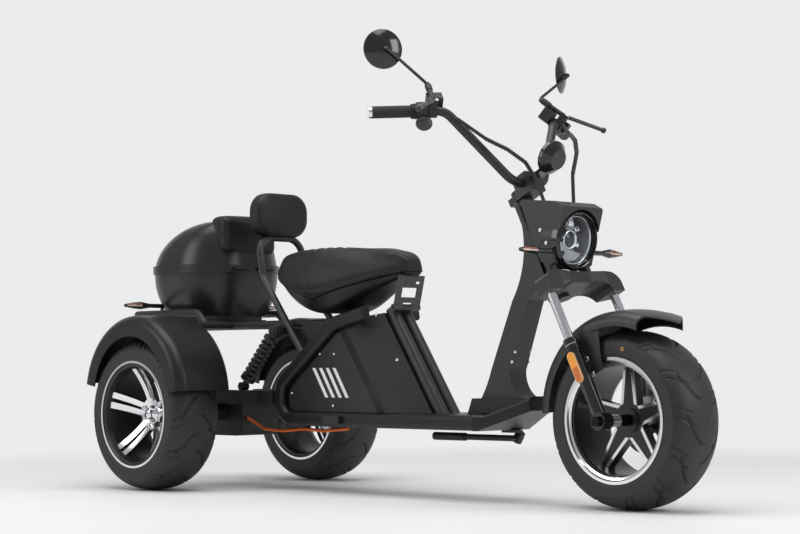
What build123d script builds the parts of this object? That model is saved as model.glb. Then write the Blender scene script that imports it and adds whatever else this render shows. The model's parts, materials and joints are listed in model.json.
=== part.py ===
# Three-wheel electric scooter in millimetres: +X forward, +Y left, +Z up.
# Places along X are measured from the rear axle and heights from the ground. At the end every
# piece is moved so that the origin lies on the ground below the middle of the overall length.
import os
from math import cos, radians, sin, sqrt

from build123d import *

UP = (Align.CENTER, Align.CENTER, Align.MIN)
DOWN = (Align.CENTER, Align.CENTER, Align.MAX)

# Fits and clearances
SHAFT_GAP = 0.05        # radial gap of a turning shaft in its bore
SEAT_GAP = 0.3          # gap of a curved or soft piece on what carries it
RUN_GAP = 6.0           # gap of a moving piece beside a fixed one

# Wheels
WHEELBASE = 1670.0
TRACK = 690.0           # between the middle planes of the rear wheels
TYRE_R = 238.5
TYRE_W = 182.0
SHOULDER_DROP = 23.0    # crown radius less shoulder radius
RIM_W = 177.0
SIDEWALL = 70.5         # tyre's crown in to the rim's lip
LIP_STEP = 15.6
RIM_LIP_T = 8.0
BARREL_WALL = 7.0
SPOKE_COUNT = 5
AXLE_R = 9.0
HUB_R = 34.0
STAR_THICK = 30.0
STAR_FACE = 22.0        # from the wheel's middle plane out to the front star's face
REAR_HUB_FACE = 8.0     # from the wheel's middle plane out to the rear hub's face
REAR_HUB_L = 60.0
DISC_CLEAR = 57.4       # brake disc's edge to the tyre seat
DISC_T = 4.0
DISC_OUT = 58.0         # from the wheel's middle plane to the brake disc

# Steering
RAKE = 27.0
FORK_OFFSET = 67.0      # steering axis forward to the fork legs
FORK_SPREAD = 130.0     # middle plane out to each leg
AXLE_DROP = 569.0       # along the steering axis from the head's middle to the axle
STEM_R = 15.0
HEAD_R = 24.0
HEAD_UP = 150.0
HEAD_DOWN = 112.0
STANCHION_R = 13.0
LOWER_R = 19.0
LOWER_TOP = 242.0       # along the leg from the axle to the top of the lower tube
YOKE_END_DROP = 185.0   # head's middle down to the lower face of the yoke's ends
YOKE_TOP_DROP = 122.0
YOKE_HALF = 152.0
UPPER_TUBE_R = 16.0
UPPER_TUBE_SPREAD = 68.0
UPPER_TUBE_X = 52.0

# Front fender
FENDER_GAP = 39.5       # fender's radius less the tyre's
FENDER_RISE = 17.0      # fender's centre above and ahead of the axle
FENDER_T = 3.0
FENDER_FRONT_DEG = 52.0
FENDER_BACK_DEG = 180.0
FENDER_SKIRT = 46.0
LEAF_LAP = 14.0         # side leaf's lap over the skirt's edge

# Head lamp and nacelle, in the steering frame
LAMP_X = 101.0
LAMP_Z = -34.5
LAMP_DIP = 8.0
LAMP_R = 85.0
LENS_R = 71.0
LENS_T = 4.0
BEZEL_T = 26.0
LAMP_DEPTH = 36.0       # room for the reflector behind the lamp's face
NACELLE_HALF = 82.0

# Handlebar
BAR_R = 13.0
BAR_CLAMP_X = 34.0
BAR_CLAMP_Z = 188.0
BAR_LOW_HALF = 62.0
BAR_BEND = 60.0
GRIP_R = 17.0
GRIP_L = 118.0

# Floor and body: places along X are shares of the wheelbase
FLOOR_TOP = 247.0
FLOOR_T = 46.0
FLOOR_NOSE = 330.0      # behind the front axle
NOSE_L = 165.0          # length of the floor's rising tip
NOSE_RISE = 52.0
NOSE_HALF = 50.0
PLINTH_H = 45.0
PLINTH_HALF = 56.0
COLUMN_HALF = 34.0
FLARE_H = 80.0          # the column spreads over its lowest part
CORE_HALF = 88.0
TAIL_HALF = 76.0        # plates behind the knee, inside the hoop
RAIL_W = 32.0           # moulded rail round the body and along the floor
RAIL_H = 42.0
RAIL_ROUND = 13.0
RAIL_BEND = 58.0
PANEL_IN = 9.0          # side panel's edge inside the rail
PANEL_HALF = 98.0
RIDGE_HALF = 112.0
RIDGE_BEVEL = 40.0
BODY_TAPER = 103.0      # square to the front edge, from the ridge where the sides turn in
FRONT_HALF = 42.0
FRONT_TUBE_R = 19.0
FRONT_TUBE_Y = 23.0
BODY_BACK = 0.201 * WHEELBASE
BODY_KNEE_X = 0.350 * WHEELBASE
BODY_FRONT_TOP_X = 0.444 * WHEELBASE
BODY_FRONT_LOW_X = 0.566 * WHEELBASE
BACK_H = 83.0           # floor up to the back's corner
KNEE_DROP = 5.0         # knee below the rack
CREST_H = 30.0          # front top above the knee

# Seat
SEAT_BACK = 0.1707 * WHEELBASE
SEAT_NOSE = 0.503 * WHEELBASE
SEAT_HALF = 150.0
SEAT_UP = 203.0         # body's front top to the seat's top
SEAT_PIN_R = 5.0
KNUCKLE_R = 10.0
KNUCKLE_L = 34.0
LUG_W = 36.0
HINGE_DOWN = 16.0       # along the front tubes to the seat's hinge

# Backrest
REST_BACK = 81.0        # behind the seat
REST_UP = 124.0         # above the seat's top
REST_W = 222.0
REST_H = 150.0
REST_T = 60.0
REST_CORNER = 64.0
HOOP_R = 11.0
HOOP_HALF = 88.0
HOOP_BEND = 52.0

# Top box
BOX_FRONT = 62.0
BOX_L = 372.0
BOX_HALF = 190.0
BOX_UP = 32.0           # rack up to the box's floor
TUB_H = 154.0
LID_H = 156.0
BOX_WALL = 4.0
LID_GAP = 0.5
BAND_OUT = 6.0          # seam bands stand out from the box
BAND_H = 13.0
LID_HINGE_OUT = 14.0
LID_HINGE_SHARE = 0.26  # hinges from the middle plane, as a share of the box's half width
LID_PIN_R = 3.0
LID_BARREL_R = 6.5
LID_BARREL_L = 28.0

# Rear fenders
REAR_FENDER_GAP = 19.5  # fender's radius less the tyre's
REAR_FENDER_RISE = 53.0
REAR_FENDER_T = 4.0
REAR_FENDER_IN = 240.0  # inner edge from the middle plane
FLANGE_H = 66.0

# Rack
STAY_UP = 228.5         # rear fender's centre up to the rack
RACK_TUBE_R = 12.0
RACK_HALF = 58.0
CARRIER_UP = 42.0
CARRIER_HALF = BOX_HALF - 20.0
CARRIER_BACK = 360.0
CROSS_X = 40.0
SIGNAL_X = -198.0

# Rear axle and suspension
AXLE_HOUSING_R = 28.0
DRUM_R = 62.0
DRUM_T = 24.0
MOTOR_X = 18.0
MOTOR_L = 176.0
MOTOR_W = 150.0
MOTOR_H = 140.0
MOTOR_DROP = 6.0        # motor's middle below the axle
ARM_H = 44.0
ARM_W = 40.0
ARM_Y = 100.0
SHOCK_TOP_Y = 122.0
SHOCK_LOW_Y = 150.0
SHOCK_LEAN = 125.0      # along X from the shock's top to its foot

# Stand and pegs
STAND_L = 340.0
STAND_R = 9.0
STAND_PIN_R = 5.0
STAND_Y = 78.0
STAND_BACK = 165.0      # behind the floor's nose
STAND_DROP = 26.0       # below the floor
STAND_AXIS = Vector(0, -0.50, -0.67)
PEG_X = 0.36 * WHEELBASE

RIM_LIP_R = TYRE_R - SIDEWALL
RIM_SEAT_R = RIM_LIP_R - LIP_STEP
DISC_R = RIM_SEAT_R - DISC_CLEAR
FENDER_R = TYRE_R + FENDER_GAP
REAR_FENDER_R = TYRE_R + REAR_FENDER_GAP
FLANGE_R = REAR_FENDER_R - FLANGE_H
RACK_Z = TYRE_R + REAR_FENDER_RISE + STAY_UP
CARRIER_Z = RACK_Z + CARRIER_UP
BOX_FLOOR_Z = RACK_Z + BOX_UP
BOX_SEAM_Z = BOX_FLOOR_Z + TUB_H
BOX_TOP_Z = BOX_SEAM_Z + LID_H
BODY_KNEE_Z = RACK_Z - KNEE_DROP
BODY_TOP = BODY_KNEE_Z + CREST_H
BODY_BACK_Z = FLOOR_TOP + BACK_H
SEAT_TOP = BODY_TOP + SEAT_UP
REST_X = SEAT_BACK - REST_BACK
REST_Z = SEAT_TOP + REST_UP
HOOP_TOP = REST_Z - REST_H / 2 + 2
SHOCK_TOP_X = BODY_BACK - 6
SHOCK_TOP_Z = RACK_Z - 2 * RACK_TUBE_R
SHOCK_LOW_X = SHOCK_TOP_X - SHOCK_LEAN
LID_HINGE_Y = LID_HINGE_SHARE * BOX_HALF
rail_y = CORE_HALF + SEAT_GAP + RAIL_W / 2
floor_half = CORE_HALF + SEAT_GAP + RAIL_W
rear_y = TRACK / 2
rake = radians(RAKE)
steer_x = Vector(cos(rake), 0, sin(rake))
steer_z = Vector(-sin(rake), 0, cos(rake))
front_axle = Vector(WHEELBASE, 0, TYRE_R)
head_mid = front_axle - steer_x * FORK_OFFSET + steer_z * AXLE_DROP
STEER = Plane(origin=head_mid, x_dir=steer_x, z_dir=steer_z).location
OVERALL_FRONT = WHEELBASE + TYRE_R
OVERALL_BACK = -(CARRIER_BACK + RACK_TUBE_R)
ORIGIN_X = (OVERALL_FRONT + OVERALL_BACK) / 2

RIGHT_WHEEL = Pos(0, -rear_y, TYRE_R) * Rot(90, 0, 0)
LEFT_WHEEL = Pos(0, rear_y, TYRE_R) * Rot(-90, 0, 0)
FRONT_WHEEL = Pos(WHEELBASE, 0, TYRE_R) * Rot(90, 0, 0)


def both_sides(piece):
    """A piece and its mirror image across the middle plane."""
    return Compound(children=[piece, mirror(piece, about=Plane.XZ)])


def rod(start, end, radius):
    """A straight round bar between two points."""
    start = Vector(*start)
    end = Vector(*end)
    run = end - start
    bar = Cylinder(radius, run.length, align=UP)
    return Plane(origin=start, z_dir=run).location * bar


def bent_rod(points, bend, radius):
    """A round bar along straight runs joined by tangent arcs."""
    path = FilletPolyline(*points, radius=bend)
    section = Plane(origin=path @ 0, z_dir=path % 0) * Circle(radius)
    return sweep(section, path=path)


def ring_profile(points):
    """A face in the XZ plane from corner points (radius, height)."""
    return Plane.XZ * make_face(Polyline(*points, close=True))


def dome_arc(edge_r, edge_z, top_z):
    """Arc from the Z axis down to an edge, part of a ball centred on the axis."""
    sag = top_z - edge_z
    ball = (edge_r ** 2 + sag ** 2) / (2 * sag)
    mid_r = edge_r * 0.6
    mid_z = top_z - ball + sqrt(ball ** 2 - mid_r ** 2)
    return ThreePointArc((0, top_z), (mid_r, mid_z), (edge_r, edge_z))


def tube_y(radius, y_low, y_high, x, z):
    return rod((x, y_low, z), (x, y_high, z), radius)


# Wheels, drawn with the axle along Z and the outer side towards +Z
def tyre():
    half = TYRE_W / 2
    bead_r = RIM_SEAT_R + SEAT_GAP
    bead_half = RIM_W / 2 - RIM_LIP_T - SEAT_GAP
    lip_r = RIM_LIP_R + SEAT_GAP + 2
    shoulder_r = TYRE_R - SHOULDER_DROP
    shoulder_half = half - 7
    wall_r = (lip_r + shoulder_r) / 2
    edges = [
        Line((bead_r, -bead_half), (bead_r, bead_half)),
        Line((bead_r, bead_half), (lip_r, bead_half)),
        Line((lip_r, bead_half), (lip_r + 4, half - 3)),
        ThreePointArc((lip_r + 4, half - 3), (wall_r, half), (shoulder_r, shoulder_half)),
        ThreePointArc((shoulder_r, shoulder_half), (TYRE_R, 0), (shoulder_r, -shoulder_half)),
        ThreePointArc((shoulder_r, -shoulder_half), (wall_r, -half), (lip_r + 4, 3 - half)),
        Line((lip_r + 4, 3 - half), (lip_r, -bead_half)),
        Line((lip_r, -bead_half), (bead_r, -bead_half)),
    ]
    return revolve(Plane.XZ * make_face(edges), Axis.Z)


def rim_barrel():
    """Barrel with a stepped lip at each side."""
    half = RIM_W / 2
    inner = RIM_SEAT_R - BARREL_WALL
    side = [
        (RIM_LIP_R, half - RIM_LIP_T),
        (RIM_LIP_R, half),
        (RIM_LIP_R - 8, half),
        (RIM_LIP_R - 11, half - 5),
        (inner + 5, half - 7),
        (inner, half - 22),
    ]
    outline = [(RIM_SEAT_R, half - RIM_LIP_T)] + side
    lower = [(r, -z) for r, z in reversed(outline)]
    return revolve(ring_profile(outline + lower), Axis.Z)


def front_rim():
    inner = RIM_SEAT_R - BARREL_WALL
    spoke = make_face(Polyline((0, -31), (inner + 2, -15), (inner + 2, 15), (0, 31), close=True))
    star = Sketch() + [Rot(0, 0, 90 + 360 / SPOKE_COUNT * i) * spoke for i in range(SPOKE_COUNT)]
    star = star + Circle(HUB_R + 8)
    plate = Pos(0, 0, STAR_FACE - STAR_THICK) * extrude(star, STAR_THICK)
    hub_back = DISC_OUT - DISC_T / 2
    hub = Pos(0, 0, -hub_back) * Cylinder(
        HUB_R, hub_back + STAR_FACE + 4, align=UP)
    bore = Cylinder(AXLE_R + SHAFT_GAP, 400)
    return rim_barrel() + plate + hub - bore


def rear_rim():
    """Deep dish: twin bars run from the lip in to the hub on a hollow cone."""
    half = RIM_W / 2
    inner = RIM_SEAT_R - BARREL_WALL
    lip_z = half - 16
    bar_t = 16.0
    cone = revolve(
        Plane.XZ * make_face([
            Line((HUB_R - 4, REAR_HUB_FACE), (HUB_R - 4, REAR_HUB_FACE - bar_t)),
            ThreePointArc((HUB_R - 4, REAR_HUB_FACE - bar_t), (0.722 * inner, 22),
                          (inner + 2, lip_z - bar_t)),
            Line((inner + 2, lip_z - bar_t), (inner + 2, lip_z)),
            ThreePointArc((inner + 2, lip_z), (0.688 * inner, 38), (HUB_R - 4, REAR_HUB_FACE)),
        ]),
        Axis.Z,
    )
    bar = make_face(Polyline((0, 2.5), (inner + 4, 7), (inner + 4, 27), (0, 19), close=True))
    pair = bar + mirror(bar, about=Plane.XZ) + Circle(HUB_R + 16)
    plan = Sketch() + [Rot(0, 0, 90 + 360 / SPOKE_COUNT * i) * pair for i in range(SPOKE_COUNT)]
    spokes = cone & (Pos(0, 0, -half) * extrude(plan, 2 * half))
    hub = Pos(0, 0, REAR_HUB_FACE - REAR_HUB_L) * Cylinder(HUB_R, REAR_HUB_L, align=UP)
    bore = Pos(0, 0, REAR_HUB_FACE - REAR_HUB_L) * Cylinder(AXLE_R + SHAFT_GAP, REAR_HUB_L - 6, align=UP)
    return rim_barrel() + spokes + hub - bore


def brake_disc():
    ring = Circle(DISC_R) - Circle(AXLE_R + RUN_GAP)
    windows = PolarLocations(DISC_R * 0.62, 6) * SlotOverall(34, 14)
    vents = PolarLocations(DISC_R * 0.87, 18) * Circle(4)
    plate = extrude(ring - windows - vents, DISC_T)
    return Pos(0, 0, -DISC_OUT - DISC_T / 2) * plate


# Steering pieces, drawn in the steering frame: Z up along the steering axis, X forward
def fork_yoke():
    """Arched lower yoke with turned-down ends, and the stem that turns in the head tube."""
    end_low = -YOKE_END_DROP
    top = -YOKE_TOP_DROP
    arch = make_face([
        Line((-YOKE_HALF, end_low), (-YOKE_HALF, top - 34)),
        ThreePointArc((-YOKE_HALF, top - 34), (-YOKE_HALF + 12, top - 14), (-YOKE_HALF + 40, top - 4)),
        Line((-YOKE_HALF + 40, top - 4), (-50, top)),
        Line((-50, top), (50, top)),
        Line((50, top), (YOKE_HALF - 40, top - 4)),
        ThreePointArc((YOKE_HALF - 40, top - 4), (YOKE_HALF - 12, top - 14), (YOKE_HALF, top - 34)),
        Line((YOKE_HALF, top - 34), (YOKE_HALF, end_low)),
        Line((YOKE_HALF, end_low), (YOKE_HALF - 46, end_low)),
        ThreePointArc((YOKE_HALF - 46, end_low), (YOKE_HALF - 62, top - 42), (40, top - 36)),
        Line((40, top - 36), (-40, top - 36)),
        ThreePointArc((-40, top - 36), (-YOKE_HALF + 62, top - 42), (-YOKE_HALF + 46, end_low)),
        Line((-YOKE_HALF + 46, end_low), (-YOKE_HALF, end_low)),
    ])
    slab = Pos(-40, 0, 0) * extrude(Plane.YZ * arch, 160)
    leg_x = FORK_OFFSET
    plan = make_face(Polyline(
        (-34, -26), (-34, 26), (-8, 50), (leg_x - 26, YOKE_HALF + 1), (leg_x + 26, YOKE_HALF + 1),
        (leg_x + 26, 96), (leg_x + 14, 40), (leg_x + 14, -40), (leg_x + 26, -96),
        (leg_x + 26, -YOKE_HALF - 1), (leg_x - 26, -YOKE_HALF - 1), (-8, -50), close=True))
    body = slab & (Pos(0, 0, -300) * extrude(plan, 300))
    stem_top = BAR_CLAMP_Z + 24
    stem_low = -YOKE_TOP_DROP - 40
    stem = Pos(0, 0, stem_low) * Cylinder(STEM_R, stem_top - stem_low,
                                          align=UP)
    nut = Pos(0, 0, stem_low - 4) * extrude(RegularPolygon(20, 6), 16)
    return STEER * (body + stem + nut)


def fork_stanchions():
    low = -AXLE_DROP + LOWER_TOP
    tube = Pos(FORK_OFFSET, -FORK_SPREAD, low) * Cylinder(
        STANCHION_R, -YOKE_END_DROP - low, align=UP)
    return both_sides(STEER * tube)


def fork_lowers():
    """Slider tubes with seal collars and a forged lug at the axle."""
    top = -AXLE_DROP + LOWER_TOP
    slider = Pos(0, 0, -AXLE_DROP) * Cylinder(LOWER_R, LOWER_TOP, align=UP)
    collars = [Pos(0, 0, top - 12 - 16 * i) * Cylinder(LOWER_R + 2.5, 9) for i in range(2)]
    lug = Pos(0, 0, -AXLE_DROP) * Rot(90, 0, 0) * Cylinder(LOWER_R + 5, 2 * LOWER_R)
    bore = Pos(0, 0, -AXLE_DROP) * Rot(90, 0, 0) * Cylinder(AXLE_R + SHAFT_GAP, 4 * LOWER_R)
    leg = Pos(FORK_OFFSET, -FORK_SPREAD, 0) * (slider + collars + lug - bore)
    return both_sides(STEER * leg)


def axle_shaft():
    """Front axle with spacers between lugs and hub, and a nut at each end."""
    reach = FORK_SPREAD + LOWER_R
    shaft = Cylinder(AXLE_R, 2 * reach)
    spacer_out = FORK_SPREAD - LOWER_R - SEAT_GAP
    right_in = STAR_FACE + 4 + 1
    left_in = DISC_OUT + DISC_T / 2 + 1
    right = Pos(0, 0, right_in) * Cylinder(16, spacer_out - right_in, align=UP)
    left = Pos(0, 0, -spacer_out) * Cylinder(16, spacer_out - left_in, align=UP)
    nut = Pos(0, 0, reach + SEAT_GAP) * extrude(RegularPolygon(15, 6), 10)
    return FRONT_WHEEL * (shaft + right + left + nut + mirror(nut, about=Plane.XY))


def front_fender():
    """Arched blade with rolled skirts, a pointed beak in front and a leaf to each fork leg."""
    half = TYRE_W / 2 + RUN_GAP + FENDER_T
    corner = 26.0
    outer = FENDER_R
    section = make_face([
        Line((outer - FENDER_SKIRT, half), (outer - corner - 12, half)),
        ThreePointArc((outer - corner - 12, half), (outer - 14, half - 10), (outer - 5, half - corner - 8)),
        ThreePointArc((outer - 5, half - corner - 8), (outer, 0), (outer - 5, -half + corner + 8)),
        ThreePointArc((outer - 5, -half + corner + 8), (outer - 14, -half + 10),
                      (outer - corner - 12, -half)),
        Line((outer - corner - 12, -half), (outer - FENDER_SKIRT, -half)),
        Line((outer - FENDER_SKIRT, -half), (outer - FENDER_SKIRT, -half + FENDER_T)),
        Line((outer - FENDER_SKIRT, -half + FENDER_T), (outer - corner - 13, -half + FENDER_T)),
        ThreePointArc((outer - corner - 13, -half + FENDER_T), (outer - 17, -half + 13),
                      (outer - 8, -half + corner + 10)),
        ThreePointArc((outer - 8, -half + corner + 10), (outer - FENDER_T, 0),
                      (outer - 8, half - corner - 10)),
        ThreePointArc((outer - 8, half - corner - 10), (outer - 17, half - 13),
                      (outer - corner - 13, half - FENDER_T)),
        Line((outer - corner - 13, half - FENDER_T), (outer - FENDER_SKIRT, half - FENDER_T)),
        Line((outer - FENDER_SKIRT, half - FENDER_T), (outer - FENDER_SKIRT, half)),
    ])
    blade = revolve(Plane.XZ * section, Axis.Z, FENDER_BACK_DEG - FENDER_FRONT_DEG)
    blade = Rot(0, 0, FENDER_FRONT_DEG) * blade
    centre = Pos(WHEELBASE + FENDER_RISE, 0, TYRE_R + FENDER_RISE)
    blade = centre * Rot(90, 0, 0) * blade
    tip_x = WHEELBASE + 160
    plan = make_face(Polyline(
        (tip_x, 0), (tip_x - 70, half), (tip_x - 75, half + 5), (WHEELBASE - 400, half + 5),
        (WHEELBASE - 400, -half - 5), (tip_x - 75, -half - 5), (tip_x - 70, -half), close=True))
    blade = blade & extrude(plan, 800)
    leg_top = -AXLE_DROP + LOWER_TOP
    leaf_top = -AXLE_DROP + FENDER_R - FENDER_SKIRT + LEAF_LAP
    leaf = make_face(Polyline(
        (14, leaf_top), (78, leaf_top - 18), (40, leg_top - 112), (-10, leg_top - 112),
        (-10, leaf_top - 50), close=True))
    plate = Plane.XZ * leaf
    leaf_out = half + FENDER_T - 1
    plate = Pos(FORK_OFFSET, leaf_out, 0) * extrude(plate, FENDER_T)
    bosses = [Pos(FORK_OFFSET, leaf_out - 1, leg_top - drop) * Rot(-90, 0, 0) *
              Cylinder(8, FORK_SPREAD - LOWER_R - SEAT_GAP - leaf_out + 1,
                       align=UP) for drop in (60, 96)]
    side = STEER * (plate + bosses)
    return blade + side + mirror(side, about=Plane.XZ)


def nacelle_block():
    """Lamp housing: sloping top, cheeks and a round front."""
    outline = make_face(Polyline(
        (48, 122), (158, 52), (180, 22), (66, -100), (36, -70), (34, 10), close=True))
    block = Pos(0, NACELLE_HALF, 0) * extrude(Plane.XZ * outline, 2 * NACELLE_HALF)
    block = fillet(block.edges().filter_by(Axis.Y), 9)
    front = lamp_place() * Cylinder(LAMP_R - 1, LAMP_DEPTH + 4, align=DOWN)
    clearance = Cylinder(HEAD_R + RUN_GAP, 600)
    seat = lamp_place() * Cylinder(LAMP_R + SEAT_GAP + 1, 200, align=UP)
    bowl = lamp_place() * Cylinder(LENS_R + 6, LAMP_DEPTH, align=DOWN)
    return block + front - clearance - seat - bowl


def nacelle():
    return STEER * nacelle_block()


def lamp_place():
    """Lamp face: Z points out of the lamp."""
    return Pos(LAMP_X, 0, LAMP_Z) * Rot(0, 90 + RAKE + LAMP_DIP, 0)


def headlight_bezel():
    """Ring round the lens, with the reflector bowl behind it."""
    ring = revolve(ring_profile([
        (LENS_R + 1, 0), (LAMP_R, 0), (LAMP_R, BEZEL_T - 8), (LAMP_R - 8, BEZEL_T),
        (LENS_R + 3, BEZEL_T - 2), (LENS_R + 1, BEZEL_T - 10)]), Axis.Z)
    bowl = revolve(Plane.XZ * make_face([
        Line((0, -34), (LENS_R - 12, -34)),
        Line((LENS_R - 12, -34), (LENS_R + 5, -2)),
        Line((LENS_R + 5, -2), (LENS_R + 5, 3)),
        Line((LENS_R + 5, 3), (LENS_R - 2, 3)),
        Line((LENS_R - 2, 3), (LENS_R - 16, -28)),
        Line((LENS_R - 16, -28), (0, -28)),
        Line((0, -28), (0, -34)),
    ]), Axis.Z)
    return STEER * lamp_place() * (ring + bowl)


def headlight_lens():
    edge = LENS_R - LENS_T
    dome = revolve(Plane.XZ * make_face([
        dome_arc(LENS_R, BEZEL_T - 11, BEZEL_T + 6),
        Line((LENS_R, BEZEL_T - 11), (LENS_R, 3 + SEAT_GAP)),
        Line((LENS_R, 3 + SEAT_GAP), (edge, 3 + SEAT_GAP)),
        Line((edge, 3 + SEAT_GAP), (edge, BEZEL_T - 13)),
        dome_arc(edge, BEZEL_T - 13, BEZEL_T + 6 - LENS_T),
        Line((0, BEZEL_T + 6 - LENS_T), (0, BEZEL_T + 6)),
    ]), Axis.Z)
    return STEER * lamp_place() * dome


def upper_tubes():
    """Headlamp carrier tubes that stand on the yoke."""
    tube = Pos(UPPER_TUBE_X, -UPPER_TUBE_SPREAD, -YOKE_TOP_DROP) * Cylinder(
        UPPER_TUBE_R, 42, align=UP)
    return both_sides(STEER * (tube - nacelle_block()))


def signal_lamp(length):
    """Arrow-shaped lamp on a stalk, along +Z."""
    neck = length * 0.38
    waist = length * 0.74
    tip = 5.0
    stalk = Cylinder(7, neck + 4, align=UP)
    head = revolve(ring_profile([
        (0, neck), (8, neck), (13, neck + length * 0.2), (11, waist), (tip, length), (0, length)]), Axis.Z)
    return stalk + head


def front_signals():
    lamp = Pos(86, -NACELLE_HALF - SEAT_GAP, -64) * Rot(90, 0, 0) * signal_lamp(128)
    return both_sides(STEER * lamp)


# Handlebar: corner points on the right-hand half, in the steering frame (x, y, z)
BAR_LOW = (BAR_CLAMP_X, -BAR_LOW_HALF, BAR_CLAMP_Z)
BAR_HIGH = (30.0, -226.0, 412.0)
BAR_END = (-74.0, -400.0, 455.0)


def bar_points():
    right = [BAR_END, BAR_HIGH, BAR_LOW]
    left = [(x, -y, z) for x, y, z in reversed(right)]
    return right + left


def handlebar():
    return STEER * bent_rod(bar_points(), BAR_BEND, BAR_R)


MIRROR_BOSS = (38.0, -52.0, GRIP_L + 53)     # top of the mirror boss in the grip frame
LEVER_ROOT = (40.0, 12.0, GRIP_L + 54)         # in the grip frame


def grip_frame():
    """Frame at the bar's right end: Z runs inwards along the grip and Y downwards."""
    end = Vector(*BAR_END)
    return Plane(origin=end, x_dir=Vector(1, 0, 0.4), z_dir=Vector(*BAR_HIGH) - end).location


def grips():
    sleeve = Cylinder(GRIP_R, GRIP_L, align=UP)
    flange = Pos(0, 0, GRIP_L - 6) * Cylinder(GRIP_R + 4, 6, align=UP)
    bore = Cylinder(BAR_R + SHAFT_GAP, 2 * GRIP_L + 20)
    cap = Pos(0, 0, -9) * Cylinder(GRIP_R, 8.5, align=UP)
    return both_sides(STEER * grip_frame() * (sleeve + flange - bore + cap))


def switchgear():
    """Switch housing beside each grip, with a mirror boss."""
    start = GRIP_L + 1
    housing = Pos(0, 0, start) * Cylinder(22, 38, align=UP)
    thumb = Pos(12, 14, start + 19) * Box(34, 30, 30)
    bore = Cylinder(BAR_R + SHAFT_GAP, 600)
    return both_sides(STEER * grip_frame() * (housing + thumb - bore))


def master_cylinders():
    """Brake cylinder clamped on the bar, with its square reservoir and a mirror boss."""
    start = GRIP_L + 41
    clamp = Pos(0, 0, start) * Cylinder(20, 24, align=UP)
    tank = Pos(10, -34, start + 24) * Box(40, 34, 44)
    boss = Pos(*MIRROR_BOSS) * Rot(90, 0, 0) * Cylinder(7, 56, align=DOWN)
    bore = Cylinder(BAR_R + SHAFT_GAP, 600)
    return both_sides(STEER * grip_frame() * (clamp + tank + boss + lever_arm() - bore))


def lever_arm():
    """Block on the brake cylinder that the lever comes out of."""
    return Pos(28, 6, GRIP_L + 53) * Box(30, 22, 24)


# Levers, mirrors, dial and cables, in the steering frame (x, y, z) on the right-hand side
LEVER_TIP = (76.0, -384.0, 374.0)
MIRROR_AT = (26.0, -373.0, 604.0)
MIRROR_R = 56.0
MIRROR_T = 16.0
MIRROR_TURN = 26.0      # glass turned inwards towards the rider
DIAL_X = 140.0
DIAL_Z = 212.0
DIAL_R = 48.0
DIAL_T = 34.0
CABLE_R = 5.0
CABLE_RIGHT = [
    (52, -215, 372), (70, -150, 300), (84, -96, 262), (92, -52, 218), (88, -32, 168), (84, -30, 90)]
CABLE_LEFT = [
    (62, 222, 384), (110, 172, 318), (160, 112, 262), (176, 74, 208), (150, 52, 150), (118, 44, 66)]


def brake_levers():
    root = (grip_frame() * Pos(*LEVER_ROOT)).position
    blade = rod(tuple(root), LEVER_TIP, 6)
    ball = Pos(*LEVER_TIP) * Sphere(9)
    return both_sides(STEER * (blade + ball - grip_frame() * lever_arm()))


def mirror_place():
    """Mirror head: Z points out of its back, forwards and outwards."""
    return Pos(*MIRROR_AT) * Rot(0, RAKE, 0) * Rot(0, 0, -MIRROR_TURN) * Rot(0, 90, 0)


def mirrors():
    """Round shells on bent stems."""
    shell = revolve(Plane.XZ * make_face([
        Line((0, -MIRROR_T / 2), (MIRROR_R, -MIRROR_T / 2)),
        Line((MIRROR_R, -MIRROR_T / 2), (MIRROR_R, 2 - MIRROR_T / 2)),
        dome_arc(MIRROR_R, 2 - MIRROR_T / 2, MIRROR_T / 2),
        Line((0, MIRROR_T / 2), (0, -MIRROR_T / 2)),
    ]), Axis.Z)
    recess = Pos(0, 0, -MIRROR_T / 2) * Cylinder(MIRROR_R - 4, 4)
    head = mirror_place() * (shell - recess)
    root = (grip_frame() * Pos(*MIRROR_BOSS)).position
    knee = (grip_frame() * Pos(*MIRROR_BOSS) * Pos(0, -34, 0)).position
    behind = (mirror_place() * Pos(0, 0, 22)).position
    back = (mirror_place() * Pos(0, 0, 4)).position
    stem = bent_rod([tuple(root), tuple(knee), tuple(behind), tuple(back)], 8, 4.5)
    return both_sides(STEER * (head + stem))


def mirror_glass():
    glass = Pos(0, 0, -MIRROR_T / 2) * Cylinder(MIRROR_R - 4 - SEAT_GAP, 2 - SEAT_GAP,
                                                align=UP)
    return both_sides(STEER * mirror_place() * glass)


def bar_clamp():
    """Collar on the stem with a block that grips the bar."""
    collar = Pos(0, 0, HEAD_UP + 1) * Cylinder(31, 30, align=UP)
    low = HEAD_UP + 1
    block = Pos(BAR_CLAMP_X, 0, low) * Box(52, 60, BAR_CLAMP_Z + 24 - low, align=UP)
    lug = Pos(-32, 0, low + 15) * Box(26, 30, 22)
    stem_bore = Cylinder(STEM_R + SHAFT_GAP, 900)
    bar_bore = Pos(BAR_CLAMP_X, 0, BAR_CLAMP_Z) * Rot(90, 0, 0) * Cylinder(BAR_R + SHAFT_GAP, 400)
    return STEER * (collar + block + lug - stem_bore - bar_bore)


def dial():
    """Round instrument on an arm from the clamp, facing back and up to the rider."""
    tilt = Pos(DIAL_X, 0, DIAL_Z) * Rot(0, -RAKE - 14, 0)
    case = revolve(ring_profile([
        (0, -DIAL_T), (DIAL_R * 0.6, -DIAL_T), (DIAL_R, -DIAL_T * 0.35), (DIAL_R, 0), (DIAL_R - 5, 0),
        (DIAL_R - 5, -3), (0, -3)]), Axis.Z)
    arm_start = BAR_CLAMP_X + 26
    arm = Pos(arm_start, 0, BAR_CLAMP_Z + 4) * Box(DIAL_X - arm_start - 18, 26, 10,
                                                  align=(Align.MIN, Align.CENTER, Align.CENTER))
    return STEER * (tilt * case + arm)


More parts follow.
